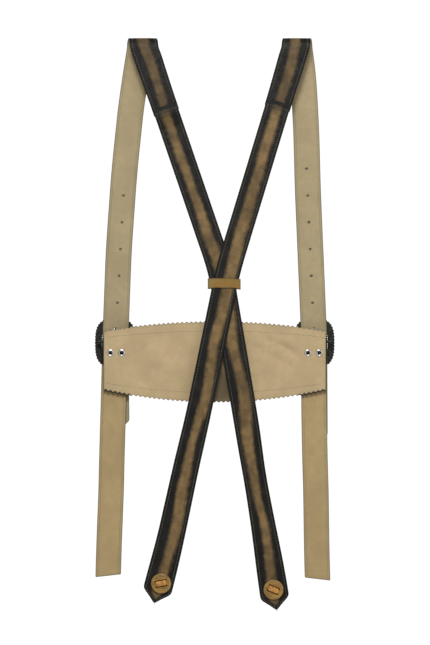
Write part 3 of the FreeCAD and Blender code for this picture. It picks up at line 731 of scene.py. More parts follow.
def suede(name, base, edge_share=0.55, shade_spot=None, second=None):
    """Split leather with a short nap: no gloss, a soft pale sheen at a glance, strokes and
    rubbed patches a shade lighter or darker, and greyish handled edges."""
    material, tree, place = begin(name)
    lay = add(tree, "Attribute", out="Vector", attribute_name="lay")
    inset = add(tree, "SeparateXYZ", {0: lay}, 2)
    broad = add(tree, "TexNoise", {"Vector": place, "Scale": per(34), "Detail": 2})
    broad = add(tree, "MapRange", {0: broad, 1: 0.32, 2: 0.68}, **SMOOTH)
    patch = add(tree, "TexNoise", {"Vector": place, "Scale": per(7), "Detail": 4})
    patch = add(tree, "MapRange", {0: patch, 1: 0.3, 2: 0.7, 3: 0, 4: 0.45}, **SMOOTH)
    # nap fibres are about 0.2 mm, drawn at 0.9 mm to show
    nap = add(tree, "TexNoise", {"Vector": place, "Scale": per(0.9), "Detail": 4})
    raised = add(tree, "MapRange", {0: nap, 1: 0.35, 2: 0.7, 3: 0, 4: 0.4}, **SMOOTH)
    handled = add(tree, "MapRange", {0: inset, 1: 0.4 * MM, 2: 3 * MM, 3: edge_share, 4: 0}, **SMOOTH)
    # dye of the face leather has bled into the cut edge
    dyed = add(tree, "MapRange", {0: inset, 1: 0.15 * MM, 2: 1 * MM, 3: 0.7, 4: 0}, **SMOOTH)
    grey = tuple(v * k for v, k in zip(base, (0.66, 0.72, 0.76)))
    coats = [(patch, shade(base, 0.84)), (raised, shade(base, 1.2))]
    if second:
        blotch = add(tree, "TexNoise", {"Vector": place, "Scale": per(9), "Detail": 3})
        blotch = add(tree, "MapRange", {0: blotch, 1: 0.38, 2: 0.62}, **SMOOTH)
        coats.append((blotch, rgba(linear(second))))
    coats += [(handled, rgba(grey)), (dyed, shade(base, 0.22))]
    if shade_spot:
        # painted shade: the suede is darkened round a place on the bar between the crossed straps, where
        # they shadow it
        centre, radius = shade_spot
        reach = add(tree, "VectorMath", {0: place, 1: centre}, "Value", operation="DISTANCE")
        reach = add(tree, "MapRange", {0: reach, 1: radius / 3, 2: radius, 3: 0.88, 4: 0}, **SMOOTH)
        coats.append((reach, shade(base, 0.2)))
    tone = add(tree, "Mix", {0: broad, 6: shade(base, 0.9), 7: shade(base, 1.08)}, 2, **COLOURS)
    for share, coat in coats:
        tone = add(tree, "Mix", {0: share, 6: tone, 7: coat}, 2, **COLOURS)
    fine = add(tree, "Bump", {"Height": nap, "Distance": 0.22 * MM, "Strength": 0.6})
    lumps = add(tree, "TexNoise", {"Vector": place, "Scale": per(6), "Detail": 3})
    normal = {"Height": lumps, "Distance": 0.5 * MM, "Strength": 0.5, "Normal": fine}
    normal = add(tree, "Bump", normal)
    surface = add(tree, "BsdfPrincipled", {
        "Base Color": tone, "Roughness": 0.92, "Specular IOR Level": 0.2, "Sheen Weight": 0.18,
        "Sheen Roughness": 0.5, "Normal": normal,
    })
    add(tree, "OutputMaterial", {"Surface": surface}, None)
    return material


def horn(finish):
    """Sawn and polished horn: warm brown with paler streaks that run across the disc, slightly
    translucent looking, glossy on the rim and duller in the hollow."""
    material, tree, place = begin("Polished horn")
    stretched = add(tree, "Mapping", {"Vector": place, "Scale": (0.35, 1, 1.4)})
    streak = add(tree, "TexNoise", {"Vector": stretched, "Scale": per(3.2), "Detail": 5})
    streak = add(tree, "MapRange", {0: streak, 1: 0.3, 2: 0.7}, **SMOOTH)
    cloud = add(tree, "TexNoise", {"Vector": place, "Scale": per(9), "Detail": 2})
    cloud = add(tree, "MapRange", {0: cloud, 1: 0.35, 2: 0.65, 3: 0, 4: 0.45}, **SMOOTH)
    tone = {0: streak, 6: shade(finish.horn, 0.62), 7: shade(finish.horn, 1.3)}
    tone = add(tree, "Mix", tone, 2, **COLOURS)
    tone = add(tree, "Mix", {0: cloud, 6: tone, 7: shade(finish.horn, 1.55)}, 2, **COLOURS)
    rough = add(tree, "TexNoise", {"Vector": place, "Scale": per(1.5), "Detail": 3})
    rough = add(tree, "MapRange", {0: rough, 1: 0.3, 2: 0.7, 3: 0.26, 4: 0.42}, **SMOOTH)
    normal = add(tree, "Bump", {"Height": streak, "Distance": 0.1 * MM, "Strength": 0.5})
    surface = add(tree, "BsdfPrincipled", {
        "Base Color": tone, "Roughness": rough, "IOR": 1.54, "Normal": normal,
    })
    add(tree, "OutputMaterial", {"Surface": surface}, None)
    return material


def lace_leather(finish):
    """Flat-cut alum-tawed lace: orange-tan, waxed, with short cross creases where it bends."""
    material, tree, place = begin("Waxed leather lace")
    patch = add(tree, "TexNoise", {"Vector": place, "Scale": per(2.4), "Detail": 3})
    patch = add(tree, "MapRange", {0: patch, 1: 0.3, 2: 0.7}, **SMOOTH)
    tone = {0: patch, 6: shade(finish.lace, 0.62), 7: shade(finish.lace, 1.25)}
    tone = add(tree, "Mix", tone, 2, **COLOURS)
    grain = add(tree, "TexNoise", {"Vector": place, "Scale": per(0.8), "Detail": 3})
    normal = add(tree, "Bump", {"Height": grain, "Distance": 0.12 * MM, "Strength": 0.6})
    surface = add(tree, "BsdfPrincipled", {"Base Color": tone, "Roughness": 0.5, "Normal": normal})
    add(tree, "OutputMaterial", {"Surface": surface}, None)
    return material


def aged_metal(finish):
    """Die-cast zinc, plated and blackened: almost black in the hollows, with grey metal where
    handling has rubbed the high spots."""
    material, tree, place = begin("Blackened cast zinc")
    rubbed = add(tree, "TexNoise", {"Vector": place, "Scale": per(2.2), "Detail": 5})
    rubbed = add(tree, "MapRange", {0: rubbed, 1: 0.5, 2: 0.72}, **SMOOTH)
    tone = {0: rubbed, 6: rgba(finish.metal), 7: shade(finish.metal, 3.2)}
    tone = add(tree, "Mix", tone, 2, **COLOURS)
    rough = add(tree, "TexNoise", {"Vector": place, "Scale": per(1.2), "Detail": 3})
    rough = add(tree, "MapRange", {0: rough, 1: 0.3, 2: 0.7, 3: 0.34, 4: 0.56}, **SMOOTH)
    # casting skin, pits of about 0.3 mm drawn at 0.6 mm to show
    skin = add(tree, "TexNoise", {"Vector": place, "Scale": per(0.6), "Detail": 3})
    normal = add(tree, "Bump", {"Height": skin, "Distance": 0.06 * MM, "Strength": 0.5})
    surface = add(tree, "BsdfPrincipled", {
        "Base Color": tone, "Metallic": 0.85, "Roughness": rough, "Normal": normal,
    })
    add(tree, "OutputMaterial", {"Surface": surface}, None)
    return material


def nickel(finish):
    """Nickel-plated brass, pressed and tumbled: bright, with faint scuffs."""
    material, tree, place = begin("Nickel-plated brass")
    scuff = add(tree, "TexNoise", {"Vector": place, "Scale": per(1), "Detail": 4})
    scuff = add(tree, "MapRange", {0: scuff, 1: 0.35, 2: 0.7}, **SMOOTH)
    tone = {0: scuff, 6: rgba(finish.nickel), 7: shade(finish.nickel, 0.8)}
    tone = add(tree, "Mix", tone, 2, **COLOURS)
    rough = add(tree, "MapRange", {0: scuff, 3: 0.18, 4: 0.36}, **SMOOTH)
    dents = add(tree, "TexNoise", {"Vector": place, "Scale": per(0.7), "Detail": 2})
    normal = add(tree, "Bump", {"Height": dents, "Distance": 0.02 * MM, "Strength": 0.4})
    surface = add(tree, "BsdfPrincipled", {
        "Base Color": tone, "Metallic": 1, "Roughness": rough, "Normal": normal,
    })
    add(tree, "OutputMaterial", {"Surface": surface}, None)
    return material


def thread(finish):
    """Waxed linen thread: two plies laid round each other, dull, a little dirty."""
    material, tree, place = begin("Waxed linen thread")
    # plies are 0.4 mm apart, drawn at 0.8 mm to show; a wave's bands are 20 to a unit of scale
    wave = {"Vector": place, "Scale": per(0.8) / 20, "Distortion": 1.5}
    plies = add(tree, "TexWave", wave, "Fac", bands_direction="DIAGONAL")
    # painted shade: the colour is darkened along the ply bands, for the grooves between the plies
    hollow = add(tree, "MapRange", {0: plies, 3: 0, 4: 0.35})
    dirt = add(tree, "TexNoise", {"Vector": place, "Scale": per(16), "Detail": 2})
    dirt = add(tree, "MapRange", {0: dirt, 1: 0.35, 2: 0.65}, **SMOOTH)
    tone = {0: dirt, 6: shade(finish.thread, 0.7), 7: shade(finish.thread, 1.1)}
    tone = add(tree, "Mix", tone, 2, **COLOURS)
    tone = add(tree, "Mix", {0: hollow, 6: tone, 7: shade(finish.thread, 0.5)}, 2, **COLOURS)
    normal = add(tree, "Bump", {"Height": plies, "Distance": 0.08 * MM, "Strength": 0.6})
    surface = add(tree, "BsdfPrincipled", {"Base Color": tone, "Roughness": 0.75, "Normal": normal})
    add(tree, "OutputMaterial", {"Surface": surface}, None)
    return material


def white_paint():
    """Floor paint, rolled on and matt: nearly even, with no gloss."""
    material, tree, place = begin("Matt white paint")
    cloud = add(tree, "TexNoise", {"Vector": place, "Scale": per(200), "Detail": 2})
    pale, paler = rgba(linear("#e9e8e5")), rgba(linear("#f2f1ee"))
    tone = add(tree, "Mix", {0: cloud, 6: pale, 7: paler}, 2, **COLOURS)
    surface = add(tree, "BsdfPrincipled", {"Base Color": tone, "Roughness": 0.9})
    add(tree, "OutputMaterial", {"Surface": surface}, None)
    return material


# Painted shade on the bar between the crossed straps, where they shadow it, as a place and a radius.
BAR_SHADE_SPOT = ((3 * MM, -2 * MM, -398 * MM), 36 * MM)

MAKERS = {
    "face_leather": lambda f: face_leather(f, wear=0.95),
    "biased_leather": lambda f: face_leather(f, "Antiqued leather, rubbed to one side", 0.95, bias=2.2),
    "shoulder_leather": lambda f: face_leather(f, "Antiqued leather, little rubbed", 0.9, 0.78),
    "bar_leather": lambda f: face_leather(f, "Antiqued leather of the bar", 0.8),
    "strap_suede": lambda f: suede("Beige split suede", f.strap_suede),
    "lower_suede": lambda f: suede("Tan split suede", f.lower_suede, 0.4),
    # the bar's suede carries the painted shade between the crossed straps
    "bar_suede": lambda f: suede("Pale tan split suede", f.bar_suede, 0.35, BAR_SHADE_SPOT),
    "keeper_suede": lambda f: suede("Ochre suede", f.keeper_suede, 0.3, second="#856430"),
    "horn": horn,
    "lace": lace_leather,
    "metal": aged_metal,
    "nickel": nickel,
    "thread": thread,
}
made_materials = {}


def paint(item, key, context):
    """Gives a piece its material, made at its first use."""
    if key not in made_materials:
        made_materials[key] = MAKERS[key](context.scene.braces_finish)
    item.data.materials.clear()
    item.data.materials.append(made_materials[key])
    return item


# ---------------------------------------------------------------- straps


def middle_of(node):
    low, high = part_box(node)
    return (low + high) / 2


def axis_of(side):
    """The hinge axis of a buckle: the middle of its centre bar."""
    return middle_of(f"{side}_centre_bar")


def pitch_near(sizes, flex):
    """Row steps of a strap, finer near its flex line."""
    return lambda z: 3 * MM if abs(z - flex) < 28 * MM else sizes.row_pitch


def eyelet_cutters(side):
    """Round tools through both eyelets of a side."""
    low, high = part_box(f"{side}_eyelets")
    flange = (high.z - low.z) / 2
    z = (low.z + high.z) / 2
    return [cutter(2.45 * MM, 0, (x, 0, z), 24) for x in (low.x + flange, high.x - flange)]


def end_steps(points, at_start, size):
    """Adds two short steps at one end of a line, where its corners are rounded."""
    a, b = (points[0], points[1]) if at_start else (points[-1], points[-2])
    way = (b - a) / abs(b - a)
    extra = [a + way * 0.5 * size, a + way * 1.6 * size]
    return [a, *extra, *points[1:]] if at_start else [*points[:-1], *extra[::-1], a]


def both_layers(base, name, sizes):
    """Gives a strap its face leather outside and its lining inside."""
    fullness(base, lambda row, column: SEAM_SHARES[column], len(SEAM_SHARES))
    face = layer(base, f"{name}_face", sizes.face_thick, 1)
    lining = layer(base, f"{name}_lining", sizes.lining_thick, -1)
    return face, lining


def hand_over(context, bodies, start, end, *pieces):
    """Paints the pieces of a strap and blends them from one body to the other.

    Each is given with its material, its slot and the nodes that it stands for."""
    for piece, key, slot, nodes in pieces:
        paint(piece, key, context)
        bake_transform(piece, *bodies, start=start, end=end)
        if slot:
            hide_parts(*nodes)


class BRACES_OT_shoulder_straps(bpy.types.Operator):
    """Models both shoulder straps: face, lining and seams, over the fold and through the buckle"""

    bl_idname = "braces.shoulder_straps"
    bl_label = "Shoulder Straps"

    def execute(self, context):
        sizes = context.scene.braces_sizes
        for side in SIDES:
            self.strap(context, sizes, side)
        return {"FINISHED"}

    def strap(self, context, sizes, side):
        axis = axis_of(side)
        _, fold_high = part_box(f"{side}_shoulder_lining_fold")
        level = fold_high.y
        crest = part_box(f"{side}_shoulder_lining_fold")[0].z
        _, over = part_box(f"{side}_shoulder_lining_front")
        low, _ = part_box(f"{side}_shoulder_face_front")
        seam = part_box(f"{side}_shoulder_face_back")[0].z
        ramp_radius, ramp_start, ramp_end = 4 * MM, 1.5 * MM, 7 * MM
        cut_z = low.z + (4.5 if side == "left" else 12.5) * MM
        points = rounded([
            (level, cut_z, 0),
            (level, axis.z - ramp_end, ramp_radius),
            (over.y, axis.z - ramp_start, ramp_radius),
            (over.y, axis.z + ramp_start, ramp_radius),
            (level, axis.z + ramp_end, ramp_radius),
            (level, crest + level, level),
            (-level, crest + level, level),
            (-level, seam, 0),
        ])
        points = end_steps(points, True, MM)
        points = spread(points, lambda z: sizes.row_pitch)
        lines = STRAP_LINES[side]
        crown = next(i for i, p in enumerate(points) if p.imag >= crest + level - CLOSE)

        def x_of(i, p):
            """The front and back lines, joined slantwise over the fold."""
            if p.imag <= crest:
                return x_at(lines["front" if i < crown else "back"], p.imag)
            share = (level - p.real) / (2 * level)
            return x_at(lines["front"], crest) * (1 - share) + x_at(lines["back"], crest) * share

        slant = math.atan(25 / 30) * (-1 if side == "left" else 1)

        def lean_of(i, middle, square):
            if middle.y > 0 and middle.z < cut_z + 48 * MM:
                return square + (slant - square) * ease(1 - (middle.z - cut_z) / (48 * MM))
            return square * ease((crest - middle.z) / (28 * MM))

        def half_of(i, middle):
            """Round corners at the cut end; the pressed fold is a little wider than the strap."""
            spreads = 1 + 0.075 * ease((middle.z - crest + 66 * MM) / (74 * MM))
            return {0: 0.88, 1: 0.97}.get(i, spreads)

        rows = strap_rows(points, x_of, sizes.strap_width, lean_of, half_of, 3)
        columns = seam_columns(sizes.strap_width / 2, sizes)
        base = strip(f"{side}_shoulder_base", rows, columns, Vector((0, 1, 0)))
        for line in SHOULDER_CREASES[side]:
            crease(base, *line)
        face, lining = both_layers(base, f"{side}_shoulder", sizes)
        holes = [m["pos_m"] for m in frame["record"]["mounts"] if m["name"].startswith(f"{side}_hole_")]
        slot = cutter(2.1 * MM, 11 * MM, (axis.x, axis.y, axis.z + 3 * MM))
        self.trim(slot)
        # the springy face leather nearly closes round a hole that the suede shows whole; the dark leather
        # left in the hole stands in for the shade inside it, as painted shade
        for piece, radius in ((face, 0.3 * MM), (lining, 1.35 * MM)):
            tool = join("holes", *[cutter(radius, 0, tuple(place)) for place in holes])
            self.trim(tool)
            punch(piece, tool, slot)
            scrap(tool)
        seams = sew(f"{side}_shoulder_seams", edge_seams(rows, sizes, 2), sizes)
        scrap(base, slot)
        parts = ("front", "fold", "back")
        hand_over(
            context, ("shoulders", "front"), (0, -7 * MM, crest), (0, 7 * MM, crest),
            (face, "shoulder_leather", "face_leather", [f"{side}_shoulder_face_{part}" for part in parts]),
            (lining, "strap_suede", "beige_suede", [f"{side}_shoulder_lining_{part}" for part in parts]),
            (seams, "thread", None, ()),
        )

    def trim(self, tool):
        """Shortens a tool, which then only cuts the front."""
        activate(tool)
        bpy.ops.object.mode_set(mode="EDIT")
        pick(tool, lambda co: co.y < 0)
        near = min(v.co.y for v in bmesh.from_edit_mesh(tool.data).verts)
        slide((0, 4 * MM - near, 0))
        bpy.ops.object.mode_set(mode="OBJECT")


class BRACES_OT_back_straps(bpy.types.Operator):
    """Models both back straps: face, lining and seams, down to their arrow points"""

    bl_idname = "braces.back_straps"
    bl_label = "Back Straps"

    def execute(self, context):
        sizes = context.scene.braces_sizes
        for side in SIDES:
            self.strap(context, sizes, side)
        return {"FINISHED"}

    def strap(self, context, sizes, side):
        start_level = -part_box(f"{side}_shoulder_lining_fold")[1].y
        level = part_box(f"{side}_back_lining_tail")[0].y
        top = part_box(f"{side}_back_face_upper")[1].z
        line = STRAP_LINES[side]["back"]
        tip = line[-1][1] * MM
        flex = (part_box(f"{side}_back_lining_upper")[0].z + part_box(f"{side}_back_lining_tail")[1].z) / 2
        arrow = 13.5 * MM
        direction = complex((line[-1][0] - line[-2][0]) * MM, tip - line[-2][1] * MM)
        neck = tip - direction.imag / abs(direction) * arrow
        lap = min(level, start_level - 3.2 * MM)
        path = [(lap, top + 8 * MM, 0)]
        if lap < level:
            path += [(lap, top - 2 * MM, 5 * MM), (level, top - 16 * MM, 5 * MM)]
        path += [(level, neck, 0), (level, tip, 0)]
        points = rounded(path)
        points = end_steps(points, True, MM)
        points = spread(points, pitch_near(sizes, flex))

        def x_of(i, p):
            ripple = 0.35 * MM * math.sin(p.imag / (34 * MM)) * ease((flex - p.imag) / (60 * MM))
            return x_at(line, p.imag) + ripple

        def half_of(i, middle):
            if middle.z < neck:
                return max((middle.z - tip) / (neck - tip), 0.07)
            return {0: 0.96, 1: 0.99}.get(i, 1.0)

        scale = sizes.back_width / (BACK_WIDTHS[side][0][0] * MM)
        rows = strap_rows(points, x_of, lambda z: scale * x_at(BACK_WIDTHS[side], z), None, half_of, 1)
        columns = seam_columns(sizes.back_width / 2, sizes)
        base = strip(f"{side}_back_base", rows, columns, Vector((0, -1, 0)))
        face, lining = both_layers(base, f"{side}_back", sizes)
        slots = lace_cutters(side, 1.4 * MM, 0.45 * MM, 0.35 * MM)
        punch(face, *slots)
        punch(lining, *slots)
        paths = edge_seams(rows, sizes, 3)
        lapped = next(row for row in rows if row.along > 2 * MM)
        reach = across(lapped.lean) * (lapped.half - 1.5 * MM)
        out = Vector((0, -0.96 * sizes.face_thick, 0))
        paths.append([lapped.middle - reach + out, lapped.middle + reach + out])
        seams = sew(f"{side}_back_seams", paths, sizes)
        scrap(base, *slots)
        middle = rows[0].middle.x
        rubbed = "biased_leather" if side == "right" else "face_leather"
        parts = ("upper", "tail")
        hand_over(
            context, ("shoulders", f"{side}_back_tail"),
            (middle, level, flex + BEND_REACH), (middle, level, flex - BEND_REACH),
            (face, rubbed, "face_leather", [f"{side}_back_face_{part}" for part in parts]),
            (lining, "strap_suede", "beige_suede", [f"{side}_back_lining_{part}" for part in parts]),
            (seams, "thread", None, ()),
        )


class BRACES_OT_lower_straps(bpy.types.Operator):
    """Models both lower straps: face, lining and seams, looped round the centre bar"""

    bl_idname = "braces.lower_straps"
    bl_label = "Lower Straps"

    def execute(self, context):
        sizes = context.scene.braces_sizes
        for side in SIDES:
            self.strap(context, sizes, side)
        return {"FINISHED"}

    def strap(self, context, sizes, side):
        axis = axis_of(side)
        loop_low, loop_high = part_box(f"{side}_lower_lining_upper")
        end_low, end_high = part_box(f"{side}_lower_lining_end")
        flex = (end_high.z + loop_low.z) / 2
        level = end_high.y
        radius = (loop_high.y - loop_low.y) / 2
        folded_end = axis.z - 25.6 * MM
        top = axis.z + radius
        points = rounded([
            (level, end_low.z - 2.5 * MM, 0),
            (level, axis.z - 7 * MM, 4 * MM),
            (loop_high.y, axis.z - 1.5 * MM, 4 * MM),
            (loop_high.y, top, radius * 0.999),
            (loop_low.y, top, radius * 0.999),
            (loop_low.y, folded_end, 0),
        ])
        points = end_steps(points, True, MM)
        points = end_steps(points, False, MM)
        points = spread(points, pitch_near(sizes, flex))
        line = STRAP_LINES[side]["lower"]

        def x_of(i, p):
            ripple = 0.3 * MM * math.sin(p.imag / (29 * MM)) * ease((flex - p.imag) / (60 * MM))
            return x_at(line, p.imag) + ripple

        slant = math.radians(-7.5 if side == "left" else 8.5)

        def lean_of(i, middle, square):
            cut = ease(1 - (middle.z - end_low.z) / (40 * MM)) if middle.y > 3 * MM else 0
            return square * ease((axis.z - middle.z) / (30 * MM)) + slant * cut

        count = len(points)

        def half_of(i, middle):
            return {0: 0.95, 1: 0.985, count - 1: 0.95, count - 2: 0.985}.get(i, 1.0)

        rows = strap_rows(points, x_of, sizes.lower_width, lean_of, half_of, 1)
        columns = seam_columns(sizes.lower_width / 2, sizes)
        base = strip(f"{side}_lower_base", rows, columns, Vector((0, 1, 0)))
        if side == "right":
            # the cut end of the strap in front shows through
            crease(base, 99, -428, 131, -457, 2.6, -0.9)
        face, lining = both_layers(base, f"{side}_lower", sizes)
        tools = [*eyelet_cutters(side), cutter(2.1 * MM, 14 * MM, (axis.x, axis.y, axis.z - 1.5 * MM))]
        punch(face, *tools)
        punch(lining, *tools)
        turned = next(i for i, p in enumerate(points) if p.imag > top - CLOSE)
        seams = sew(f"{side}_lower_seams", edge_seams(rows, sizes, 2, turned - 8), sizes)
        scrap(base, *tools)
        parts = ("upper", "end")
        hand_over(
            context, ("front", f"{side}_lower_end"),
            (axis.x, level, flex + BEND_REACH), (axis.x, level, flex - BEND_REACH),
            (face, "face_leather", "face_leather", [f"{side}_lower_face_{part}" for part in parts]),
            (lining, "lower_suede", "beige_suede", [f"{side}_lower_lining_{part}" for part in parts]),
            (seams, "thread", None, ()),
        )


# ---------------------------------------------------------------- chest bar


class BRACES_OT_chest_bar(bpy.types.Operator):
    """Models the chest bar: face leather and suede lining with pinked edges and their seams"""

    bl_idname = "braces.chest_bar"
    bl_label = "Chest Bar"

    def execute(self, context):
        sizes = context.scene.braces_sizes
        low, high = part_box("chest_bar_face")
        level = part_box("chest_bar_lining")[1].y
        middle = (low.x + high.x) / 2
        reach = (high.x - low.x) / 2
        rise, belly = 10.5 * MM, 14.4 * MM
        per_tooth = 6
        count = round((high.x - low.x) / sizes.tooth_pitch) * per_tooth
        xs = [low.x + (high.x - low.x) * i / count for i in range(count + 1)]
        rows = []
        for x in xs:
            out = ((x - middle) / reach) ** 2
            tooth = 0.5 - 0.5 * math.cos(2 * math.pi * (x - low.x) / sizes.tooth_pitch)
            top = high.z - rise * out - tooth * sizes.tooth_depth
            bottom = low.z + belly * out + tooth * sizes.tooth_depth
            spot = Vector((x, level, (top + bottom) / 2))
            rows.append(Row(spot, -math.pi / 2, (top - bottom) / 2, x - low.x, 0))
        seam = [0.80, 0.77, 0.74]
        upper = [1, 0.985, 0.93, 0.86, *seam, 0.68]
        inner = [0.6, 0.52, 0.44, 0.36, 0.28, 0.2, 0.12, 0.04]
        columns = [-c for c in upper + inner] + inner[::-1] + upper[::-1]
        shares = {0: 0.8, 1: 0.95, 4: 0.97, 5: 0.72, 6: 1.0}
        last = len(columns) - 1
        layers = []
        # near its ends the face leather is cut lower than the suede, so its dark edge shows below; over the
        # straps that dark edge also stands in for the shadow under the bar, as painted shade
        for name, thick, offset, lower in (
            ("chest_bar_face_leather", sizes.bar_face_thick, 1, 0.65 * MM),
            ("chest_bar_suede", sizes.lining_thick, -1, 0),
        ):
            shifted = []
            for row in rows:
                extra = lower * ease((abs(row.middle.x - middle) - 94 * MM) / (5 * MM))
                spot = row.middle - Vector((0, 0, extra))
                shifted.append(row._replace(middle=spot, half=row.half + extra))
            base = strip("chest_bar_base", shifted, columns, Vector((0, 1, 0)))
            fullness(
                base, lambda row, column: shares.get(min(column, last - column), 1.0), len(columns)
            )
            self.crumple(base, middle)
            layers.append(layer(base, name, thick, offset, 0))
            if offset == 1:
                scrap(base)
        face, lining = layers
        paths = self.seams(base, rows, columns, sizes)
        tools = [tool for side in SIDES for tool in eyelet_cutters(side)]
        punch(face, *tools)
        punch(lining, *tools)
        seams = sew("chest_bar_seams", paths, sizes)
        scrap(base, *tools)
        for piece, key, slot, node in (
            (face, "bar_leather", "face_leather", "chest_bar_face"),
            (lining, "bar_suede", "beige_suede", "chest_bar_lining"),
            (seams, "thread", None, None),
        ):
            if slot:
                settle_shell(piece, math.radians(50))
            paint(piece, key, context)
            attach(piece, "front")
            if slot:
                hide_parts(node)
        return {"FINISHED"}

    def crumple(self, base, middle):
        """Soft waves between the straps, none where the bar is riveted to them."""
        loose = base.vertex_groups.new(name="loose")
        for vert in base.data.vertices:
            free = ease((92 * MM - abs(vert.co.x - middle)) / (40 * MM))
            loose.add([vert.index], free, "REPLACE")
        for size, strength in ((0.085, 4.0 * MM), (0.03, 2.0 * MM)):
            waves = bpy.data.textures.new("waves", "CLOUDS")
            waves.noise_scale = size
            waves.noise_depth = 1
            finish_with(base, "DISPLACE", texture=waves, texture_coords="LOCAL", direction="Y",
                        strength=strength, mid_level=0.5, vertex_group="loose")
        for line in BAR_CREASES:
            crease(base, *line)

    def seams(self, base, rows, columns, sizes):
        """Seams in the grooves of both layers, read from the waved surface."""
        place = base.data.attributes["place"]
        spots = {place.data[v.index].value: v.co.copy() for v in base.data.vertices}
        groove = columns.index(0.77)
        count = len(columns)
        paths = []
        for column in (groove, count - 1 - groove):
            for lift in (0.74 * sizes.bar_face_thick, -0.74 * sizes.lining_thick):
                line = [spots[i * count + column] for i in range(4, len(rows) - 4, 3)]
                paths.append([spot + Vector((0, lift, 0)) for spot in line])
        return paths


# ---------------------------------------------------------------- small pieces


class BRACES_OT_keeper(bpy.types.Operator):
    """Models the suede loop round the crossing of the back straps"""

    bl_idname = "braces.keeper"
    bl_label = "Keeper"

    def execute(self, context):
        low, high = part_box("cross_keeper")
        wall = inset = 1.3 * MM
        corner = 2.2 * MM
        ends = [
            (low.x + inset, low.y + inset, corner), (high.x - inset, low.y + inset, corner),
            (high.x - inset, high.y - inset, corner), (low.x + inset, high.y - inset, corner),
        ]
        middle = (low.x + high.x) / 2
        start = (middle, low.y + inset, 0)
        points = spread(rounded([start, *ends[1:], ends[0], start]), lambda z: 3 * MM)
        half = (high.z - low.z) / 2
        rows = []
        along = 0
        for i, p in enumerate(points):
            if i:
                along += abs(p - points[i - 1])
            x = p.real
            droop = -(x - middle) * 0.012 - 1.0 * MM * ((x - middle) / (high.x - middle)) ** 2
            wave = 0.35 * MM * math.sin(along / (5 * MM)) * (0 < i < len(points) - 1)
            z = (low.z + high.z) / 2 + 0.5 * MM + droop + wave
            size = half * (0.9 + 0.03 * math.cos(along / (3.4 * MM)) * (0 < i < len(points) - 1))
            rows.append(Row(Vector((x, p.imag, z)), -math.pi / 2, size, along, 0))
        columns = [-1, -0.93, -0.6, -0.2, 0.2, 0.6, 0.93, 1]
        shares = [0.75, 0.95, 1, 1, 1, 1, 0.95, 0.75]
        base = strip("keeper_base", rows, columns, Vector((0, -1, 0)), closed=True)
        fullness(base, lambda row, column: shares[column], len(columns))
        keeper = layer(base, "cross_keeper_loop", wall, 1, 2)
        scrap(base)
        paint(keeper, "keeper_suede", context)
        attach(keeper, "keeper")
        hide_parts("cross_keeper")
        return {"FINISHED"}


def slot_sizes(side):
    """Length of a tip button's slots and the height between them, from its lace."""
    low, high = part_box(f"{side}_button_lace")
    turned = abs(BUTTON_TURN[side])
    wide, tall = high.x - low.x, high.z - low.z
    c, s = math.cos(turned), math.sin(turned)
    slot = (wide * c - tall * s) / (c * c - s * s)
    between = (tall * c - wide * s) / (c * c - s * s)
    return slot, between - 1.2 * MM


def lace_cutters(side, shorter, radius, closer=0.0):
    """The two slots of a tip button as tools, with round ends."""
    centre = middle_of(f"{side}_tip_button")
    slot, between = slot_sizes(side)
    tools = []
    for place in (-1, 1):
        clear()
        bpy.ops.mesh.primitive_cylinder_add(
            vertices=16, radius=radius, depth=0.02, location=(0, 0, 0), rotation=(math.pi / 2, 0, 0)
        )
        tool = bpy.context.object
        bpy.ops.object.transform_apply(location=True, rotation=True, scale=True)
        bpy.ops.object.mode_set(mode="EDIT")
        for end in (-1, 1):
            pick(tool, lambda co: co.x * end > CLOSE)
            slide((end * (slot / 2 - radius + 0.3 * MM - shorter), 0, 0))
        bpy.ops.mesh.select_all(action="SELECT")
        slide((0, 0, place * (between / 2 - closer)))
        turn(BUTTON_TURN[side], "Y", (0, 0, 0))
        slide(centre)
        bpy.ops.object.mode_set(mode="OBJECT")
        tools.append(tool)
    return tools


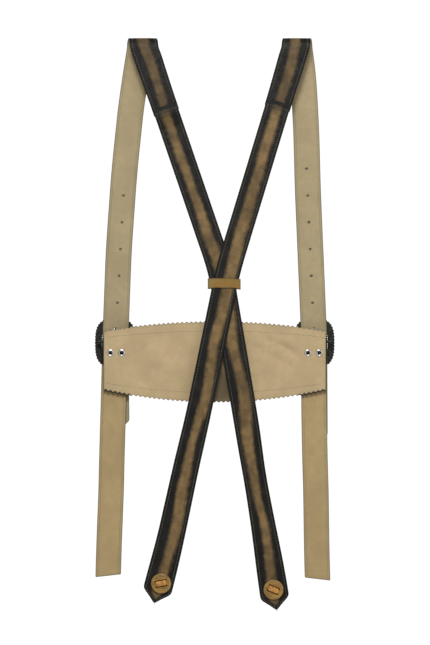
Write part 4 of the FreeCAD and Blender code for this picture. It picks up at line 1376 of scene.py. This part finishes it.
class BRACES_OT_tip_buttons(bpy.types.Operator):
    """Models the horn buttons at the strap tips and the laces through their slots"""

    bl_idname = "braces.tip_buttons"
    bl_label = "Tip Buttons"

    def execute(self, context):
        for side in SIDES:
            self.button(context, side)
            self.lace(context, side)
        return {"FINISHED"}

    def button(self, context, side):
        low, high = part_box(f"{side}_tip_button")
        centre = (low + high) / 2
        radius = (high.x - low.x) / 2
        front, back = low.y, high.y
        outline = [
            (0, 0.55), (0.35, 0.52), (0.6, 0.42), (0.74, 0.22), (0.83, 0.04), (0.9, 0.0), (0.96, 0.12),
            (0.995, 0.5), (1.0, 1.1), (0.99, 1.9), (0.95, 2.5), (0.88, 2.85), (0.8, 3.0), (0, 3.0),
        ]
        depth = (back - front) / 3
        profile = [(r * radius, front + d * depth) for r, d in outline]
        disc = lathe(f"{side}_horn_button", profile, (centre.x, 0, centre.z), 48)
        tools = lace_cutters(side, 0, 1.1 * MM)
        punch(disc, *tools)
        scrap(*tools)
        settle_shell(disc, math.radians(35))
        paint(disc, "horn", context)
        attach(disc, f"{side}_back_tail")
        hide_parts(f"{side}_tip_button")

    def lace(self, context, side):
        low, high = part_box(f"{side}_button_lace")
        centre = middle_of(f"{side}_tip_button")
        slot, between = slot_sizes(side)
        thick = 1.2 * MM
        near, far = low.y + thick / 2 + 0.25 * MM, high.y - thick / 2
        half = between / 2 - 0.35 * MM
        bend = 1.0 * MM
        start = ((near + far) / 2, -half, 0)
        corners = [(near, -half), (near, half), (far, half), (far, -half)]
        points = rounded([start, *[(*corner, bend) for corner in corners], start])
        points = spread(points, lambda z: 1.2 * MM)
        lean = BUTTON_TURN[side]
        upright = Vector((math.sin(lean), 0, math.cos(lean)))
        rows = []
        along = 0
        for i, p in enumerate(points):
            if i:
                along += abs(p - points[i - 1])
            puff = -0.35 * MM * math.cos(math.pi * p.imag / (2 * half)) if p.real < near + CLOSE else 0
            spot = Vector((centre.x, p.real + puff, centre.z)) + upright * p.imag
            rows.append(Row(spot, lean, slot / 2 - 0.9 * MM, along, 0))
        columns = [-1, -0.92, -0.5, 0, 0.5, 0.92, 1]
        base = strip(f"{side}_lace_base", rows, columns, Vector((0, 0, 1)), closed=True)
        fullness(base, lambda row, column: {0: 0.7, 6: 0.7}.get(column, 1.0), len(columns))
        lace = layer(base, f"{side}_lace", thick * 0.9, 0, 1)
        scrap(base)
        paint(lace, "lace", context)
        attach(lace, f"{side}_back_tail")
        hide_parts(f"{side}_button_lace")


class BRACES_OT_eyelets(bpy.types.Operator):
    """Models the rolled eyelets of the chest bar and the washers behind them"""

    bl_idname = "braces.eyelets"
    bl_label = "Eyelets"

    def execute(self, context):
        for side in SIDES:
            for node, shape, name in (
                ("eyelets", self.eyelet, "rolled_eyelets"),
                ("eyelet_washers", self.washer, "eyelet_rings"),
            ):
                low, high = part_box(f"{side}_{node}")
                flange = (high.z - low.z) / 2
                z = (low.z + high.z) / 2
                profile = [(r * MM, y) for r, y in shape(low.y, high.y)]
                made = [
                    lathe(f"{side}_{name}_{i}", profile, (x, 0, z), 28)
                    for i, x in enumerate((low.x + flange, high.x - flange))
                ]
                piece = join(f"{side}_{name}", *made)
                settle_shell(piece)
                paint(piece, "nickel", context)
                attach(piece, "front")
                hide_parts(f"{side}_{node}")
        return {"FINISHED"}

    def eyelet(self, near, far):
        """Radius in millimetres and Y of the eyelet's section, a closed line."""
        section = [
            (2.0, far - 0.4 * MM), (1.95, near + 1.6 * MM), (1.95, near + 0.7 * MM),
            (2.15, near + 0.15 * MM), (2.7, near - 0.15 * MM), (3.4, near - 0.1 * MM),
            (4.0, near + 0.2 * MM), (4.2, near + 0.55 * MM), (3.9, near + 0.62 * MM),
            (2.45, near + 0.62 * MM), (2.4, far - 0.5 * MM), (2.7, far), (2.5, far + 0.15 * MM), (2.1, far),
        ]
        return section + section[:1]

    def washer(self, near, far):
        """The washer's section, given in the same way."""
        section = [
            (2.75, near + 0.05 * MM), (3.9, near + 0.02 * MM), (4.05, near + 0.2 * MM),
            (3.8, far - 0.08 * MM), (3.3, far + 0.08 * MM), (2.9, far), (2.7, near + 0.3 * MM),
        ]
        return section + section[:1]


class BRACES_OT_buckles(bpy.types.Operator):
    """Models the buckles: rope-edged frame with its lugs, and prong; the centre bar is kept"""

    bl_idname = "braces.buckles"
    bl_label = "Buckles"

    def execute(self, context):
        sizes = context.scene.braces_sizes
        for side in SIDES:
            self.frame_piece(context, sizes, side)
            self.prong(context, side)
            bar = frame["nodes"][f"{side}_centre_bar"]
            paint(bar, "metal", context)
        return {"FINISHED"}

    def frame_piece(self, context, sizes, side):
        low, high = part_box(f"{side}_buckle_frame")
        axis = axis_of(side)
        wide, tall = (high.x - low.x) / 2, (high.z - low.z) / 2 + 1.8 * MM
        thick = 3.5 * MM
        level = high.y - thick / 2
        side_rail, end_rail = 8.1 * MM, 9.5 * MM
        power = 3.0
        ridges = round(4 * (wide + tall) * 0.84 / sizes.rope_pitch)
        per_ridge = 6
        count = ridges * per_ridge

        def spot(angle, inset_x, inset_z):
            c, s = math.cos(angle), math.sin(angle)
            x = math.copysign(abs(c) ** (2 / power), c) * (wide - inset_x)
            z = math.copysign(abs(s) ** (2 / power), s) * (tall - inset_z)
            return Vector((axis.x + x, level, (low.z + high.z) / 2 - 1.3 * MM + z))

        dense = [spot(2 * math.pi * k / 720, 0, 0) for k in range(721)]
        run = [0.0]
        for a, b in zip(dense, dense[1:]):
            run.append(run[-1] + (b - a).length)
        rows = []
        previous = None
        for i in range(count + 1):
            want = run[-1] * (i % count) / count
            angle = 2 * math.pi * float(np.interp(want, run, range(721))) / 720
            outer = spot(angle, 0, 0)
            inner = spot(angle, side_rail, end_rail)
            arm = outer - inner
            lean = math.atan2(-arm.z, arm.x)
            if previous is not None:
                lean = previous + (lean - previous + math.pi) % (2 * math.pi) - math.pi
            previous = lean
            scallop = 1 + 0.1 * math.cos(2 * math.pi * i / per_ridge)
            half = arm.length / 2 * scallop
            middle = inner + arm / 2
            rows.append(Row(middle, lean, half, run[-1] * i / count, 0))
        columns = [-1, -0.9, -0.6, -0.3, -0.1, 0.1, 0.35, 0.6, 0.85, 1]
        base = strip(f"{side}_frame_base", rows, columns, Vector((0, 1, 0)), closed=True)

        def share(row, column):
            place = columns[column]
            if place < 0:
                return {0: 0.45, 1: 0.62}.get(column, 0.66)
            crown = math.sqrt(max(1 - ((place - 0.5) / 0.62) ** 2, 0))
            ridge = 0.5 + 0.5 * math.cos(2 * math.pi * (row / per_ridge + 1.1 * place))
            return 0.35 + crown * (0.3 + 0.35 * ridge)

        fullness(base, share, len(columns))
        ring = layer(base, f"{side}_frame_ring", thick, 0, 1)
        scrap(base)
        pieces = [ring]
        half_bar = (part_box(f"{side}_centre_bar")[1].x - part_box(f"{side}_centre_bar")[0].x) / 2
        lug = 3.0 * MM
        ear = 2.9 * MM
        for sign in (-1, 1):
            clear()
            bpy.ops.mesh.primitive_cube_add(size=1)
            item = bpy.context.object
            bpy.ops.object.mode_set(mode="EDIT")
            bpy.ops.mesh.select_all(action="SELECT")
            reach = level - axis.y + ear
            grow((lug, reach, 2 * ear), (0, 0, 0))
            pick(item, lambda co: co.y < 0)
            mesh = bmesh.from_edit_mesh(item.data)
            for edge in mesh.edges:
                a, b = (vert.co for vert in edge.verts)
                edge.select_set(a.y < 0 and b.y < 0 and abs(a.x - b.x) > CLOSE)
            bmesh.update_edit_mesh(item.data)
            bpy.ops.mesh.bevel(offset=ear * 0.98, segments=6, affect="EDGES")
            bpy.ops.mesh.select_all(action="SELECT")
            bpy.ops.mesh.bevel(offset=0.35 * MM, segments=2, affect="EDGES")
            bpy.ops.mesh.select_all(action="SELECT")
            slide((axis.x + sign * (half_bar - lug / 2), axis.y + (level - axis.y - ear) / 2, axis.z))
            bpy.ops.object.mode_set(mode="OBJECT")
            pieces.append(item)
        piece = join(f"{side}_rope_buckle", *pieces)
        settle_shell(piece, math.radians(60))
        paint(piece, "metal", context)
        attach(piece, f"{side}_buckle")
        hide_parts(f"{side}_buckle_frame")

    def prong(self, context, side):
        _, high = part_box(f"{side}_prong")
        axis = axis_of(side)
        centre = Vector((axis.x, axis.y, axis.z))
        radius = 1.1 * MM
        tip = Vector((axis.x, high.y - radius, high.z - radius))
        way = (tip - centre).normalized()
        off = Vector((0, way.z, -way.y))
        total = (tip - centre).length
        eye = 2.45 * MM
        spots = []
        for share, size, bow in (
            (0.09, 1.25, 0), (0.2, 1.15, 0.2), (0.35, 1.05, 0.55), (0.5, 1.0, 0.7), (0.65, 0.95, 0.7),
            (0.8, 0.88, 0.5), (0.92, 0.8, 0.2), (0.985, 0.66, 0.05), (1.02, 0.3, 0),
        ):
            spots.append((centre + way * total * share + off * bow * MM, size))
        pin = tube(f"{side}_pin", radius, spots)
        clear()
        bpy.ops.mesh.primitive_torus_add(
            major_segments=28, minor_segments=10, major_radius=eye, minor_radius=0.85 * MM,
            location=centre, rotation=(0, math.pi / 2, 0),
        )
        ring = bpy.context.object
        bpy.ops.object.transform_apply(location=True, rotation=True, scale=True)
        bpy.ops.object.mode_set(mode="EDIT")
        bpy.ops.mesh.select_all(action="SELECT")
        grow((1.9, 1, 1), centre)
        bpy.ops.object.mode_set(mode="OBJECT")
        settle_shell(pin)
        piece = join(f"{side}_curved_prong", pin, ring)
        settle_shell(piece, math.radians(50))
        paint(piece, "metal", context)
        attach(piece, f"{side}_prong")
        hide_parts(f"{side}_prong")


# ---------------------------------------------------------------- studio


class BRACES_OT_studio(bpy.types.Operator):
    """Sets the floor, the lights, the world and the camera"""

    bl_idname = "braces.studio"
    bl_label = "Studio"

    def execute(self, context):
        scene = context.scene
        tall = 741.8 * MM
        middle = -324.2 * MM
        distance = 3.2
        sensor = 36.0
        camera = bpy.data.cameras.new("Camera")
        camera.sensor_width = sensor
        camera.lens = sensor * distance / tall
        viewer = bpy.data.objects.new("Camera", camera)
        viewer.location = (0, -distance, middle)
        viewer.rotation_euler = (math.pi / 2, 0, 0)
        scene.collection.objects.link(viewer)
        scene.camera = viewer
        scene.view_settings.view_transform = "Standard"
        clear()
        bpy.ops.mesh.primitive_circle_add(
            vertices=96, radius=0.9, fill_type="NGON", location=(0, 0, -0.92)
        )
        floor = bpy.context.object
        floor.name = "studio_floor"
        bpy.ops.object.transform_apply(location=True, rotation=True, scale=True)
        floor.data.materials.append(white_paint())
        self.light(scene, "Key", (-0.1, -1.6, 0.78), 0.5, 26.0, middle)
        self.light(scene, "Fill", (1.1, -1.3, -0.2), 0.9, 4.0, middle)
        self.light(scene, "Front", (0.5, 1.6, 0.6), 0.8, 12.0, middle)
        world = bpy.data.worlds.new("White studio")
        world.use_nodes = True
        tree = world.node_tree
        tree.nodes.clear()
        seen = add(tree, "Background", {"Color": (1, 1, 1, 1), "Strength": 1.05})
        around = add(tree, "Background", {"Color": (1, 1, 1, 1), "Strength": 0.4})
        ray = add(tree, "LightPath", out="Is Camera Ray")
        both = add(tree, "MixShader", {0: ray, 1: around, 2: seen})
        add(tree, "OutputWorld", {"Surface": both}, None)
        scene.world = world
        return {"FINISHED"}

    def light(self, scene, name, place, size, power, middle):
        data = bpy.data.lights.new(name, "AREA")
        data.size = size
        data.energy = power
        lamp = bpy.data.objects.new(name, data)
        lamp.location = place
        way = Vector((0, 0, middle)) - lamp.location
        lamp.rotation_euler = way.to_track_quat("-Z", "Y").to_euler()
        scene.collection.objects.link(lamp)


OPERATORS = (
    BRACES_OT_shoulder_straps,
    BRACES_OT_back_straps,
    BRACES_OT_lower_straps,
    BRACES_OT_chest_bar,
    BRACES_OT_keeper,
    BRACES_OT_tip_buttons,
    BRACES_OT_eyelets,
    BRACES_OT_buckles,
    BRACES_OT_studio,
)


class BRACES_PT_panel(bpy.types.Panel):
    """Lists the braces' pieces and settings"""

    bl_idname = "BRACES_PT_panel"
    bl_label = "Leather Braces"
    bl_space_type = "VIEW_3D"
    bl_region_type = "UI"
    bl_category = "Braces"

    def draw(self, context):
        for operator in OPERATORS:
            self.layout.operator(operator.bl_idname)
        for group in (context.scene.braces_sizes, context.scene.braces_finish):
            column = self.layout.column(align=True)
            for name in group.bl_rna.properties.keys():
                if name not in ("rna_type", "name"):
                    column.prop(group, name)


CLASSES = (BracesSizes, BracesFinish, *OPERATORS, BRACES_PT_panel)


def register():
    for item in CLASSES:
        bpy.utils.register_class(item)
    bpy.types.Scene.braces_sizes = bpy.props.PointerProperty(type=BracesSizes)
    bpy.types.Scene.braces_finish = bpy.props.PointerProperty(type=BracesFinish)


def unregister():
    del bpy.types.Scene.braces_finish
    del bpy.types.Scene.braces_sizes
    for item in reversed(CLASSES):
        bpy.utils.unregister_class(item)


def main():
    register()
    for operator in OPERATORS:
        group, name = operator.bl_idname.split(".")
        getattr(getattr(bpy.ops, group), name)()


if __name__ == "__main__":
    main()
